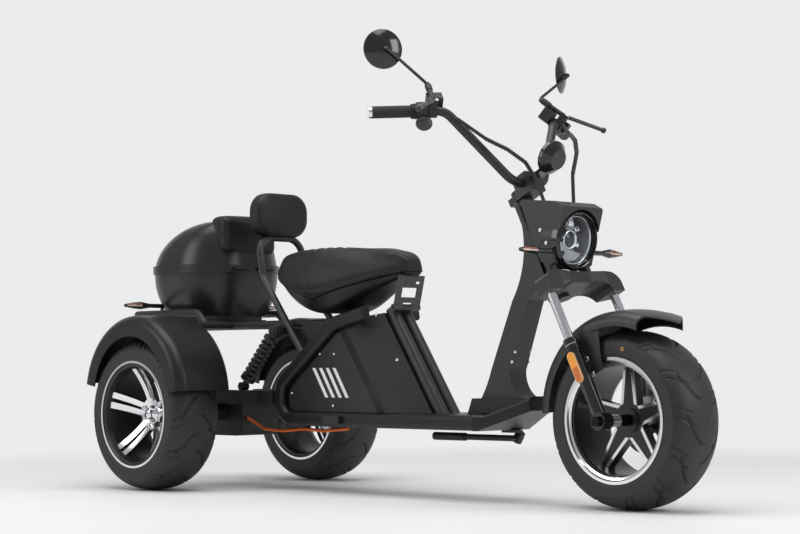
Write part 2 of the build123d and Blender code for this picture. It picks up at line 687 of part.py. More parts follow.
def cable_wraps():
    right = bent_rod(CABLE_RIGHT, 22, CABLE_R)
    left = bent_rod(CABLE_LEFT, 22, CABLE_R)
    housing = nacelle_block()
    return STEER * Compound(children=[right - housing, left - housing])


def reflectors():
    """Capsule reflectors on the outer side of the fork sliders."""
    low = -AXLE_DROP + LOWER_TOP - 134
    capsule = extrude(SlotOverall(88, 24), 6)
    place = Pos(FORK_OFFSET, -FORK_SPREAD - LOWER_R - SEAT_GAP, low + 50) * Rot(90, 0, 0) * Rot(0, 0, 90)
    return both_sides(STEER * place * capsule)


def brake_caliper():
    """Caliper astride the disc, on a bracket from the left fork leg."""
    angle = radians(100)
    at_r = DISC_R - 10
    x = WHEELBASE + at_r * cos(angle)
    z = TYRE_R + at_r * sin(angle)
    body = Pos(x, DISC_OUT, z) * Box(56, 46, 44)
    slot = Pos(x, DISC_OUT, TYRE_R) * Rot(90, 0, 0) * Cylinder(DISC_R + 5, DISC_T + 4)
    slot = Pos(WHEELBASE - x, 0, 0) * slot
    inner = FORK_SPREAD - LOWER_R - SEAT_GAP
    arm = Box(70, inner - DISC_OUT - 20, 14, align=(Align.CENTER, Align.MIN, Align.CENTER))
    arm = Pos(x - 20, DISC_OUT + 20, z) * arm
    return body - slot + arm


# Frame pieces
def neck_column():
    """Swept column from the floor to the head tube."""
    foot = FLOOR_TOP + PLINTH_H - head_mid.Z
    outline = make_face([
        Line((-78, 118), (-50, 62)),
        ThreePointArc((-50, 62), (-47, -40), (-89, -147)),
        Line((-89, -147), (-174, foot + FLARE_H)),
        ThreePointArc((-174, foot + FLARE_H), (-190, foot + 0.51 * FLARE_H), (-214, foot)),
        Line((-214, foot), (-52, foot)),
        ThreePointArc((-52, foot), (-92, foot + 0.44 * FLARE_H), (-101, foot + FLARE_H)),
        Line((-101, foot + FLARE_H), (-30, -147)),
        Line((-30, -147), (40, -96)),
        Line((40, -96), (-60, 118)),
        Line((-60, 118), (-78, 118)),
    ])
    web = Pos(0, COLUMN_HALF, 0) * extrude(Plane.XZ * outline, 2 * COLUMN_HALF)
    web = Pos(head_mid.X, 0, head_mid.Z) * web
    tube = STEER * Pos(0, 0, -HEAD_DOWN) * Cylinder(HEAD_R, HEAD_UP + HEAD_DOWN,
                                                    align=UP)
    ahead = STEER * Pos(0, 0, 0) * Box(400, 300, 900, align=(Align.MIN, Align.CENTER, Align.CENTER))
    below = STEER * Pos(0, 0, -HEAD_DOWN) * Box(120, 300, 300, align=DOWN)
    bore = STEER * Cylinder(STEM_R + SHAFT_GAP, 900)
    return web - ahead - below + tube - bore


def floor_nose_x():
    return WHEELBASE - FLOOR_NOSE


def floorboard():
    """Tray between the rails that sweeps up and narrows at its nose, with the plinth for the column."""
    nose = floor_nose_x()
    bottom = FLOOR_TOP - FLOOR_T
    start = nose - NOSE_L
    middle = Pos(BODY_BACK, 0, bottom) * Box(start - BODY_BACK + 1, 2 * CORE_HALF, FLOOR_T,
                                             align=(Align.MIN, Align.CENTER, Align.MIN))
    side = make_face(Polyline(
        (start, bottom), (start + 15, bottom), (nose, bottom + NOSE_RISE + 6),
        (nose, FLOOR_TOP + NOSE_RISE), (nose - 130, FLOOR_TOP), (start, FLOOR_TOP), close=True))
    tip = Pos(0, floor_half, 0) * extrude(Plane.XZ * side, 2 * floor_half)
    plan = make_face(Polyline(
        (start, -floor_half), (start + 10, -floor_half), (nose + 5, -NOSE_HALF), (nose + 5, NOSE_HALF),
        (start + 10, floor_half), (start, floor_half), close=True))
    tip = tip & extrude(plan, 600)
    long_edges = [e for e in tip.edges() if abs(e.center().Y) > NOSE_HALF - 1 and e.center().X > start + 1
                  and abs((e % 0.5).X) > 0.5]
    tip = fillet(long_edges, RAIL_ROUND)
    foot = head_mid.X
    plinth = make_face(Polyline(
        (foot - 250, FLOOR_TOP - 4), (foot - 230, FLOOR_TOP + PLINTH_H), (foot - 36, FLOOR_TOP + PLINTH_H),
        (nose - 10, FLOOR_TOP + 20), close=True))
    return middle + tip + Pos(0, PLINTH_HALF, 0) * extrude(Plane.XZ * plinth, 2 * PLINTH_HALF)


def body_edge_plane():
    """Plane across the body's sloping front edge: X square to the edge, Y across, Z along it."""
    along = Vector(BODY_FRONT_LOW_X - BODY_FRONT_TOP_X, 0, FLOOR_TOP - BODY_TOP)
    square = Vector(-along.Z, 0, along.X)
    return Plane(origin=(BODY_FRONT_TOP_X, 0, BODY_TOP), x_dir=square, z_dir=along)


def rail_path():
    """Corner points of the rail in the XZ plane: front top, knee, back, floor and the floor's front."""
    low = FLOOR_TOP - FLOOR_T / 2
    return [(BODY_FRONT_TOP_X - 14, BODY_TOP), (BODY_KNEE_X, BODY_KNEE_Z), (BODY_BACK, BODY_BACK_Z),
            (BODY_BACK, low), (floor_nose_x() - NOSE_L - SEAT_GAP, low)]


def battery_body():
    """Closed battery case inside the rail, with a raised ridge and sides that turn in to the front edge."""
    inset = RAIL_H / 2 + SEAT_GAP
    core_side = make_face(Polyline(
        (BODY_BACK, FLOOR_TOP), (BODY_BACK, BODY_BACK_Z), (BODY_KNEE_X, BODY_KNEE_Z),
        (BODY_FRONT_TOP_X, BODY_TOP), (BODY_FRONT_LOW_X, FLOOR_TOP), close=True))
    core = Pos(0, CORE_HALF, 0) * extrude(Plane.XZ * core_side, 2 * CORE_HALF)
    back = BODY_BACK + inset + PANEL_IN
    panel_side = make_face(Polyline(
        (back, FLOOR_TOP), (back, BODY_BACK_Z - 20),
        (BODY_KNEE_X, BODY_KNEE_Z - inset - PANEL_IN), (BODY_FRONT_TOP_X + 4, BODY_TOP - inset - PANEL_IN),
        (BODY_FRONT_LOW_X, FLOOR_TOP), close=True))
    low_corner = panel_side.vertices().sort_by(Axis.X)[:2].sort_by(Axis.Y)[0]
    panel_side = fillet(low_corner, RAIL_BEND - inset - PANEL_IN)
    panel = Pos(0, RIDGE_HALF, 0) * extrude(Plane.XZ * panel_side, 2 * RIDGE_HALF)
    half_plan = [(-900, -PANEL_HALF), (-BODY_TAPER - RIDGE_BEVEL, -PANEL_HALF), (-BODY_TAPER, -RIDGE_HALF),
                 (0, -FRONT_HALF)]
    wedge = make_face(Polyline(*half_plan, *[(u, -v) for u, v in reversed(half_plan)], close=True))
    keep = body_edge_plane().location * Pos(0, 0, -500) * extrude(wedge, 1500)
    tail_side = make_face(Polyline(
        (BODY_BACK + 40, BODY_BACK_Z + 20), (BODY_BACK + 52, RACK_Z - 22), (BODY_BACK + 90, RACK_Z + 8),
        (BODY_KNEE_X - 60, RACK_Z), (BODY_KNEE_X, BODY_KNEE_Z), close=True))
    tail = Pos(0, TAIL_HALF, 0) * extrude(Plane.XZ * tail_side, 2 * TAIL_HALF)
    return ((core + panel) & keep) + tail


def body_rims():
    """Moulded rail along the top, round the back and on along the floor, at each side."""
    path = FilletPolyline(*[(x, -rail_y, z) for x, z in rail_path()], radius=RAIL_BEND)
    across = Plane(origin=path @ 0, x_dir=(0, 1, 0), z_dir=path % 0)
    rail = sweep(across * RectangleRounded(RAIL_W, RAIL_H, RAIL_ROUND), path=path)
    return both_sides(rail)


def front_tubes():
    """Pair of tubes down the body's front edge, joined by the lug and pin that the seat turns on."""
    plane = body_edge_plane().location
    length = sqrt((BODY_FRONT_LOW_X - BODY_FRONT_TOP_X) ** 2 + (BODY_TOP - FLOOR_TOP) ** 2)
    axis_out = FRONT_TUBE_R + SEAT_GAP
    tubes = [plane * Pos(axis_out, s * FRONT_TUBE_Y, 0) * Cylinder(
        FRONT_TUBE_R, length + 40, align=UP) for s in (-1, 1)]
    floor_cut = Pos(0, 0, FLOOR_TOP) * Box(4000, 600, 300, align=DOWN)
    lug_l = 2 * FRONT_TUBE_R + KNUCKLE_R + RUN_GAP / 2 - axis_out
    lug = Box(lug_l, LUG_W, 18, align=(Align.MIN, Align.CENTER, Align.CENTER))
    lug = plane * Pos(axis_out, 0, HINGE_DOWN) * lug
    eye = seat_hinge() * Cylinder(KNUCKLE_R, LUG_W)
    pin = seat_hinge() * Cylinder(SEAT_PIN_R, LUG_W + 2 * KNUCKLE_L + 8)
    return tubes[0] + tubes[1] - floor_cut + lug + eye + pin


def seat_hinge():
    """Frame on the seat's pin: Z along the pin."""
    out = 2 * FRONT_TUBE_R + SEAT_GAP + KNUCKLE_R + RUN_GAP / 2
    at = body_edge_plane().location * Pos(out, 0, HINGE_DOWN)
    return Pos(*tuple(at.position)) * Rot(90, 0, 0)


def seat_bracket():
    """Hinge plate under the seat's nose with a window and two slots."""
    hinge = seat_hinge()
    at = hinge.position
    side = LUG_W / 2 + 1 + KNUCKLE_L / 2
    knuckles = [hinge * Pos(0, 0, s * side) * Cylinder(KNUCKLE_R, KNUCKLE_L) for s in (-1, 1)]
    run = Vector(SEAT_NOSE - 22, 0, SEAT_TOP - 92) - at
    plane = Plane(origin=at, x_dir=(0, 1, 0), z_dir=Vector(run.Z, 0, -run.X))
    face = Pos(0, run.length / 2) * Rectangle(2 * side + KNUCKLE_L, run.length)
    window = Pos(0, run.length * 0.47) * Rectangle(62, 30)
    slots = [Pos(s * 30, run.length * 0.78) * SlotOverall(20, 8) for s in (-1, 1)]
    plate = plane * extrude(face - window - slots, 5)
    bore = hinge * Cylinder(SEAT_PIN_R + SHAFT_GAP, 300)
    room = hinge * Cylinder(KNUCKLE_R + RUN_GAP, LUG_W + 2)
    return knuckles[0] + knuckles[1] + plate - room - bore - seat_pan()


# Seat sections from back to nose: share of the length, half width, drop of the top, drop of the bottom
SEAT_SECTIONS = [
    (0.0, 74.0, 36.0, 88.0),
    (0.05, 112.0, 14.0, 116.0),
    (0.22, 146.0, 2.0, 180.0),
    (0.44, SEAT_HALF, 0.0, 204.0),
    (0.72, 106.0, 10.0, 150.0),
    (0.92, 66.0, 17.0, 108.0),
    (1.0, 34.0, 44.0, 94.0),
]


def seat_loft(inset):
    """Sections widest low down, with a narrower top and a bottom that tucks in."""
    sections = []
    for share, half, top_drop, low_drop in SEAT_SECTIONS:
        x = SEAT_BACK + share * (SEAT_NOSE - SEAT_BACK)
        top = SEAT_TOP - top_drop
        low = SEAT_TOP - low_drop + inset
        wide = half - inset
        mid = low + 0.42 * (top - low)
        plane = Plane(origin=(x, 0, 0), x_dir=(0, 1, 0), z_dir=(1, 0, 0))
        outline = make_face(Polyline(
            (-0.74 * wide, top), (-wide, mid), (-0.6 * wide, low), (0.6 * wide, low), (wide, mid),
            (0.74 * wide, top), close=True))
        sections.append(plane * fillet(outline.vertices(), 0.24 * (top - low)))
    return loft(sections)


def above_seam(lift):
    """Everything above the curved seam between cushion and pan."""
    length = SEAT_NOSE - SEAT_BACK
    far = 3 * length
    high = SEAT_TOP + 200
    back = (SEAT_BACK - 15, SEAT_TOP - 66 + lift)
    deep = (SEAT_BACK + 0.40 * length, SEAT_TOP - 160 + lift)
    nose = (SEAT_NOSE + 15, SEAT_TOP - 80 + lift)
    edge = make_face([
        Line((back[0] - far, high), (back[0] - far, back[1])),
        Line((back[0] - far, back[1]), back),
        ThreePointArc(back, (SEAT_BACK + 0.2 * length, SEAT_TOP - 124 + lift), deep),
        ThreePointArc(deep, (SEAT_BACK + 0.72 * length, SEAT_TOP - 112 + lift), nose),
        Line(nose, (nose[0] + far, nose[1])),
        Line((nose[0] + far, nose[1]), (nose[0] + far, high)),
        Line((nose[0] + far, high), (back[0] - far, high)),
    ])
    return Pos(0, 2 * SEAT_HALF, 0) * extrude(Plane.XZ * edge, 4 * SEAT_HALF)


def seat_cushion():
    return seat_loft(0.0) & above_seam(0)


def seat_pan():
    return seat_loft(5.0) - above_seam(-SEAT_GAP)


def backrest_hoop():
    """Bent tube that carries the backrest, with its feet on the rails."""
    right = [(BODY_BACK + 106, -rail_y, RACK_Z - 92), (BODY_BACK + 36, -rail_y + 6, RACK_Z - 16),
             (REST_X + 24, -HOOP_HALF - 2, SEAT_TOP - 76), (REST_X, -HOOP_HALF, HOOP_TOP)]
    points = right + [(x, -y, z) for x, y, z in reversed(right)]
    return bent_rod(points, HOOP_BEND, HOOP_R) - body_rims()


def backrest_pad():
    pad = RectangleRounded(REST_W, REST_H, REST_CORNER)
    low_face = Plane(origin=(REST_X - REST_T / 2, 0, REST_Z), x_dir=(0, 1, 0), z_dir=(1, 0, 0))
    block = fillet(extrude(low_face * pad, REST_T).edges(), REST_T * 0.36)
    return block - Pos(REST_X, 0, HOOP_TOP) * Rot(90, 0, 0) * Cylinder(HOOP_R + SEAT_GAP, 2 * REST_W)


# Top box outlines as shares of the whole height, length and half width; corner as a share of the
# shorter half side; front edge's inset
TUB_SECTIONS = [
    (0.0, 0.78, 0.72, 0.69, 34.0),
    (0.42, 0.93, 0.91, 0.73, 12.0),
    (1.0, 1.0, 1.0, 0.80, 0.0),
]
LID_SECTIONS = [
    (0.0, 1.0, 1.0, 0.80, 0.0),
    (0.48, 0.90, 0.91, 0.84, 6.0),
    (0.82, 0.68, 0.74, 0.90, 12.0),
    (1.0, 0.38, 0.46, 0.91, 30.0),
]


def box_loft(sections, low, height, wall, lift):
    """Loft of rounded outlines, made smaller by a wall and raised by a lift."""
    faces = []
    for z, length, half, corner, inset in sections:
        long = length * BOX_L - 2 * wall
        wide = 2 * (half * BOX_HALF - wall)
        outline = RectangleRounded(long, wide, corner * min(long, wide) / 2)
        middle = BOX_FRONT - inset - length * BOX_L / 2
        faces.append(Pos(middle, 0, low + z * height + lift) * outline)
    return loft(faces)


def top_box_tub():
    outer = box_loft(TUB_SECTIONS, BOX_FLOOR_Z, TUB_H, 0, 0)
    inner = box_loft(TUB_SECTIONS, BOX_FLOOR_Z, TUB_H, BOX_WALL, BOX_WALL)
    rim = seam_band(BOX_SEAM_Z - BAND_H)
    foot = Pos(BOX_FRONT - BOX_L / 2, 0, BOX_FLOOR_Z) * Box(
        0.66 * BOX_L, BOX_HALF, BOX_FLOOR_Z - plate_top(), align=DOWN)
    return outer - inner + rim + foot + tub_hinges()


def lid_hinge(y):
    """Frame on the lid's pin: Z along the pin."""
    return Pos(BOX_FRONT + LID_HINGE_OUT, y, BOX_SEAM_Z + LID_GAP / 2) * Rot(90, 0, 0)


def hinge_leaf(low, high):
    """Block that joins hinge barrels to a seam band, between two heights."""
    start = BOX_FRONT
    return Pos(start, 0, low) * Box(BOX_FRONT + LID_HINGE_OUT - start, 1, high - low,
                                    align=(Align.MIN, Align.CENTER, Align.MIN))


def tub_hinges():
    """Outer barrels with the pins, one pair at each side of the box's front."""
    pieces = []
    for y in (-LID_HINGE_Y, LID_HINGE_Y):
        pieces.append(lid_hinge(y) * Cylinder(LID_PIN_R, 2 * LID_BARREL_L))
        for side in (-1, 1):
            at = y + side * (LID_BARREL_L / 2 + 1 + LID_BARREL_L / 4)
            pieces.append(lid_hinge(at) * Cylinder(LID_BARREL_R, LID_BARREL_L / 2))
            leaf = scale(hinge_leaf(BOX_SEAM_Z - LID_BARREL_R, BOX_SEAM_Z), by=(1, LID_BARREL_L / 2, 1))
            pieces.append(Pos(0, at, 0) * leaf)
    return pieces


def lid_hinges():
    """Middle barrels that turn on the pins."""
    pieces = []
    for y in (-LID_HINGE_Y, LID_HINGE_Y):
        pieces.append(lid_hinge(y) * Cylinder(LID_BARREL_R, LID_BARREL_L))
        low = BOX_SEAM_Z + LID_GAP
        leaf = scale(hinge_leaf(low, low + LID_BARREL_R), by=(1, LID_BARREL_L, 1))
        pieces.append(Pos(0, y, 0) * leaf)
    return pieces


def seam_band(z):
    """Raised band round the box at the seam."""
    middle = BOX_FRONT - BOX_L / 2
    corner = TUB_SECTIONS[-1][3] * min(BOX_L / 2, BOX_HALF)
    outer = RectangleRounded(BOX_L + 2 * BAND_OUT, 2 * (BOX_HALF + BAND_OUT), corner + BAND_OUT)
    inner = RectangleRounded(BOX_L - BOX_WALL, 2 * BOX_HALF - BOX_WALL, corner - BOX_WALL / 2)
    return Pos(middle, 0, z) * extrude(outer - inner, BAND_H)


def top_box_lid():
    low = BOX_SEAM_Z + LID_GAP
    outer = box_loft(LID_SECTIONS, low, LID_H - LID_GAP, 0, 0)
    inner = box_loft(LID_SECTIONS, low, LID_H - LID_GAP, BOX_WALL, -BOX_WALL)
    bore = Cylinder(LID_PIN_R + SHAFT_GAP, 2 * LID_HINGE_Y)
    bores = [lid_hinge(y) * bore for y in (-LID_HINGE_Y, LID_HINGE_Y)]
    return outer - inner + seam_band(low) + lid_hinges() - bores


def lid_pad():
    """Passenger pad on the front of the lid."""
    block = Pos(BOX_FRONT + 6, 0, BOX_TOP_Z + 20) * Box(90, 1.2 * BOX_HALF, 0.84 * LID_H,
                                                       align=(Align.MAX, Align.CENTER, Align.MAX))
    block = fillet(block.edges(), 28)
    hollow = box_loft(LID_SECTIONS, BOX_SEAM_Z + LID_GAP, LID_H - LID_GAP, -2 * SEAT_GAP, 0)
    return block - hollow


def plate_top():
    return RACK_Z + RACK_TUBE_R + SEAT_GAP + 8


def rack_plate():
    low = RACK_Z + RACK_TUBE_R + SEAT_GAP
    return Pos(BOX_FRONT - BOX_L / 2, 0, low) * Box(
        0.72 * BOX_L, 1.1 * BOX_HALF, plate_top() - low, align=UP)


def rear_rack():
    """Rack tubes from the body, a cross tube to the fenders and the carrier loop round the box."""
    back = -CARRIER_BACK + 120
    rail = rod((BODY_KNEE_X, 0, RACK_Z), (back, 0, RACK_Z), RACK_TUBE_R)
    rails = [Pos(0, s * RACK_HALF, 0) * rail for s in (-1, 1)]
    cross = tube_y(RACK_TUBE_R, -REAR_FENDER_IN, REAR_FENDER_IN, CROSS_X, RACK_Z)
    back_cross = tube_y(RACK_TUBE_R, -RACK_HALF, RACK_HALF, back, RACK_Z)
    shock_cross = tube_y(RACK_TUBE_R, -SHOCK_TOP_Y - 16, SHOCK_TOP_Y + 16, SHOCK_TOP_X, SHOCK_TOP_Z)
    post = rod((SHOCK_TOP_X, 0, SHOCK_TOP_Z), (SHOCK_TOP_X, 0, RACK_Z), 8)
    posts = [Pos(0, s * RACK_HALF, 0) * post for s in (-1, 1)]
    loop = bent_rod([
        (CROSS_X, -CARRIER_HALF, RACK_Z), (CROSS_X - 44, -CARRIER_HALF, CARRIER_Z),
        (-CARRIER_BACK, -CARRIER_HALF, CARRIER_Z), (-CARRIER_BACK, CARRIER_HALF, CARRIER_Z),
        (CROSS_X - 44, CARRIER_HALF, CARRIER_Z), (CROSS_X, CARRIER_HALF, RACK_Z)], 40, RACK_TUBE_R)
    rack = cross + loop + back_cross + shock_cross + posts + rails
    return rack - battery_body()


def rear_fender():
    """Right rear fender: barrel, inner wall and outer flange."""
    outer_y = rear_y + TYRE_W / 2 + RUN_GAP + REAR_FENDER_T
    inner_y = REAR_FENDER_IN
    t = REAR_FENDER_T
    r = REAR_FENDER_R
    c = 34.0
    d = 20.0
    k = 0.293
    section = make_face([
        Line((FLANGE_R, outer_y), (r - c, outer_y)),
        ThreePointArc((r - c, outer_y), (r - c * k, outer_y - c * k), (r, outer_y - c)),
        Line((r, outer_y - c), (r, inner_y + d)),
        ThreePointArc((r, inner_y + d), (r - d * k, inner_y + d * k), (r - d, inner_y)),
        Line((r - d, inner_y), (FLANGE_R + 8, inner_y)),
        Line((FLANGE_R + 8, inner_y), (FLANGE_R + 8, inner_y + t)),
        Line((FLANGE_R + 8, inner_y + t), (r - d, inner_y + t)),
        ThreePointArc((r - d, inner_y + t), (r - t - (d - t) * k, inner_y + t + (d - t) * k),
                      (r - t, inner_y + d)),
        Line((r - t, inner_y + d), (r - t, outer_y - c)),
        ThreePointArc((r - t, outer_y - c), (r - t - (c - t) * k, outer_y - t - (c - t) * k),
                      (r - c, outer_y - t)),
        Line((r - c, outer_y - t), (FLANGE_R, outer_y - t)),
        Line((FLANGE_R, outer_y - t), (FLANGE_R, outer_y)),
    ])
    shell = Rot(0, 0, 5) * revolve(Plane.XZ * section, Axis.Z, 165)
    return Pos(0, 0, TYRE_R + REAR_FENDER_RISE) * Rot(90, 0, 0) * shell


def rear_axle():
    hub_inner = rear_y + REAR_HUB_FACE - REAR_HUB_L
    housing = tube_y(AXLE_HOUSING_R, -hub_inner + RUN_GAP, hub_inner - RUN_GAP, 0, TYRE_R)
    stub = rear_y + REAR_HUB_FACE - 8
    shaft = tube_y(AXLE_R, -stub, stub, 0, TYRE_R)
    drum_out = hub_inner - RUN_GAP
    drums = [tube_y(DRUM_R, s * (drum_out - DRUM_T), s * drum_out, 0, TYRE_R) for s in (-1, 1)]
    return housing + shaft + drums


def motor_block():
    block = Pos(MOTOR_X, 0, TYRE_R - MOTOR_DROP) * Box(MOTOR_L, MOTOR_W, MOTOR_H)
    bore = tube_y(AXLE_HOUSING_R + SEAT_GAP, -MOTOR_W, MOTOR_W, 0, TYRE_R)
    return fillet(block.edges().filter_by(Axis.Y), 30) - bore


def swing_arm():
    """Box arms on the axle, joined by cross boxes and a middle block at the body's back."""
    low = TYRE_R + AXLE_HOUSING_R + SEAT_GAP
    rail_back = BODY_BACK - RAIL_H / 2 - RUN_GAP
    corner = (Align.MAX, Align.CENTER, Align.MIN)
    beam = Box(rail_back + 30, ARM_W, ARM_H, align=corner)
    beams = [Pos(rail_back, s * ARM_Y, low) * beam for s in (-1, 1)]
    front = Pos(rail_back, 0, low) * Box(46, 2 * ARM_Y, ARM_H, align=corner)
    block_l = BODY_BACK - rail_back + 10
    block = Pos(BODY_BACK - SEAT_GAP, 0, low) * Box(block_l, 1.4 * ARM_Y, ARM_H, align=corner)
    foot = Pos(SHOCK_LOW_X, 0, low) * Box(84, 2 * SHOCK_LOW_Y + 50, ARM_H, align=UP)
    motor_room = Pos(MOTOR_X, 0, TYRE_R - MOTOR_DROP) * Box(MOTOR_L + 2, MOTOR_W + 2, MOTOR_H + 2)
    return foot + beams + front + block - motor_room


def shock_absorbers():
    """Damper and coil from the rack's cross tube to the swing arm."""
    low_z = TYRE_R + AXLE_HOUSING_R + SEAT_GAP + ARM_H
    top = Vector(SHOCK_TOP_X, -SHOCK_TOP_Y, SHOCK_TOP_Z)
    low = Vector(SHOCK_LOW_X, -SHOCK_LOW_Y, low_z + 13 + SEAT_GAP)
    run = top - low
    body = rod(tuple(low), tuple(top), 9)
    cups = [rod(tuple(low + run * a), tuple(low + run * b), 24) for a, b in ((0.12, 0.16), (0.84, 0.88))]
    starts = [0.18 + 0.082 * i for i in range(8)]
    turns = [rod(tuple(low + run * a), tuple(low + run * (a + 0.025)), 23) for a in starts]
    eye = Pos(*tuple(low)) * Rot(90, 0, 0) * Cylinder(13, 26)
    cap = Pos(*tuple(top)) * Rot(90, 0, 0) * (Cylinder(20, 24) - Cylinder(RACK_TUBE_R + SEAT_GAP, 30))
    core = body - tube_y(RACK_TUBE_R + SEAT_GAP, -400, 400, SHOCK_TOP_X, SHOCK_TOP_Z)
    return both_sides(core + cups + turns + eye + cap)


def rear_signals():
    post_low = CARRIER_Z + RACK_TUBE_R + SEAT_GAP
    post = rod((SIGNAL_X, -CARRIER_HALF, post_low), (SIGNAL_X, -CARRIER_HALF, CARRIER_Z + 30), 6)
    lamp = Pos(SIGNAL_X, -CARRIER_HALF, CARRIER_Z + 26) * Rot(90, 0, 0) * signal_lamp(150)
    return both_sides(post + lamp)


def foot_pegs():
    block = Box(70, 14, 24, align=(Align.CENTER, Align.MAX, Align.CENTER))
    peg = Pos(PEG_X, -floor_half, FLOOR_TOP - FLOOR_T / 2) * block
    return both_sides(fillet(peg.edges().filter_by(Axis.X), 4))


MOTOR_CABLE_R = 5.0
# Way points of the motor's cable: place along X, place along Y, drop below the floor
MOTOR_CABLE = [
    (100, -52, -20), (196, -54, 15), (288, -56, 19), (384, -52, 11), (486, -56, 15), (600, -60, 6)]


def motor_cable():
    low = FLOOR_TOP - FLOOR_T
    return bent_rod([(x, y, low - drop) for x, y, drop in MOTOR_CABLE], 60, MOTOR_CABLE_R) - motor_block()


def stand_place():
    return Vector(floor_nose_x() - STAND_BACK, STAND_Y, FLOOR_TOP - FLOOR_T - STAND_DROP)


def stand_bracket():
    """Lug under the floor with the stand's pivot pin."""
    at = stand_place()
    plate = Pos(at.X, at.Y - 24, FLOOR_TOP - FLOOR_T - SEAT_GAP) * Box(46, 40, 8, align=DOWN)
    axis = STAND_AXIS.normalized()
    seat = Plane(origin=at - axis * 11, z_dir=axis)
    boss = seat.location * Cylinder(14, 10, align=DOWN)
    pin = seat.location * Pos(0, 0, -10) * Cylinder(STAND_PIN_R, 34, align=UP)
    return plate + boss + pin


def side_stand():
    """Folded leg: eye on the pivot, bent rod and a sleeve at the foot."""
    at = stand_place()
    axis = STAND_AXIS.normalized()
    seat = Plane(origin=at - axis * 10, z_dir=axis)
    eye = seat.location * Cylinder(15, 20, align=UP)
    bore = seat.location * Pos(0, 0, -50) * Cylinder(STAND_PIN_R + SHAFT_GAP, 200, align=UP)
    leg = rod(tuple(at), (at.X - STAND_L, at.Y, at.Z), STAND_R)
    sleeve = rod((at.X - STAND_L, at.Y, at.Z), (at.X - STAND_L * 0.62, at.Y, at.Z), STAND_R + 3)
    return eye + leg + sleeve - bore


def build_all():
    nodes = {}
    wheel_tyre = tyre()
    nodes["front_tyre"] = FRONT_WHEEL * wheel_tyre
    nodes["front_rim"] = FRONT_WHEEL * front_rim()
    nodes["brake_disc"] = FRONT_WHEEL * brake_disc()
    rim = rear_rim()
    nodes["rear_tyre_right"] = RIGHT_WHEEL * wheel_tyre
    nodes["rear_rim_right"] = RIGHT_WHEEL * rim
    nodes["rear_tyre_left"] = LEFT_WHEEL * wheel_tyre
    nodes["rear_rim_left"] = LEFT_WHEEL * rim
    nodes["fork_yoke"] = fork_yoke()
    nodes["fork_stanchions"] = fork_stanchions()
    nodes["fork_lowers"] = fork_lowers()
    nodes["front_axle"] = axle_shaft()
    nodes["front_fender"] = front_fender()
    nodes["nacelle"] = nacelle()
    nodes["headlight_bezel"] = headlight_bezel()
    nodes["headlight_lens"] = headlight_lens()
    nodes["upper_tubes"] = upper_tubes()
    nodes["front_signals"] = front_signals()
    nodes["handlebar"] = handlebar()
    nodes["grips"] = grips()
    nodes["switchgear"] = switchgear()
    nodes["master_cylinders"] = master_cylinders()
    nodes["brake_levers"] = brake_levers()
    nodes["mirrors"] = mirrors()
    nodes["mirror_glass"] = mirror_glass()
    nodes["bar_clamp"] = bar_clamp()
    nodes["dial"] = dial()
    nodes["cable_wraps"] = cable_wraps()
    nodes["reflectors"] = reflectors()
    nodes["brake_caliper"] = brake_caliper()
    nodes["neck_column"] = neck_column()
    nodes["floorboard"] = floorboard()
    nodes["battery_body"] = battery_body()
    nodes["body_rims"] = body_rims()
    nodes["front_tubes"] = front_tubes()
    nodes["seat_bracket"] = seat_bracket()
    nodes["seat_cushion"] = seat_cushion()
    nodes["seat_pan"] = seat_pan()
    nodes["backrest_hoop"] = backrest_hoop()
    nodes["backrest_pad"] = backrest_pad()
    nodes["top_box_tub"] = top_box_tub()
    nodes["top_box_lid"] = top_box_lid()
    nodes["lid_pad"] = lid_pad()
    nodes["rack_plate"] = rack_plate()
    nodes["rear_rack"] = rear_rack()
    fender = rear_fender()
    nodes["rear_fender_right"] = fender
    nodes["rear_fender_left"] = mirror(fender, about=Plane.XZ)
    nodes["rear_axle"] = rear_axle()
    nodes["motor_block"] = motor_block()
    nodes["swing_arm"] = swing_arm()
    nodes["shock_absorbers"] = shock_absorbers()
    nodes["rear_signals"] = rear_signals()
    nodes["foot_pegs"] = foot_pegs()
    nodes["motor_cable"] = motor_cable()
    nodes["stand_bracket"] = stand_bracket()
    nodes["side_stand"] = side_stand()
    return nodes


os.makedirs("parts", exist_ok=True)
for name, piece in build_all().items():
    export_step(Pos(-ORIGIN_X, 0, 0) * piece, f"parts/{name}.step")
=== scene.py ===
import json
from math import cos, pi, radians, sin

import bmesh
import bpy
import numpy as np
from mathutils import Matrix, Vector
from mathutils.bvhtree import BVHTree

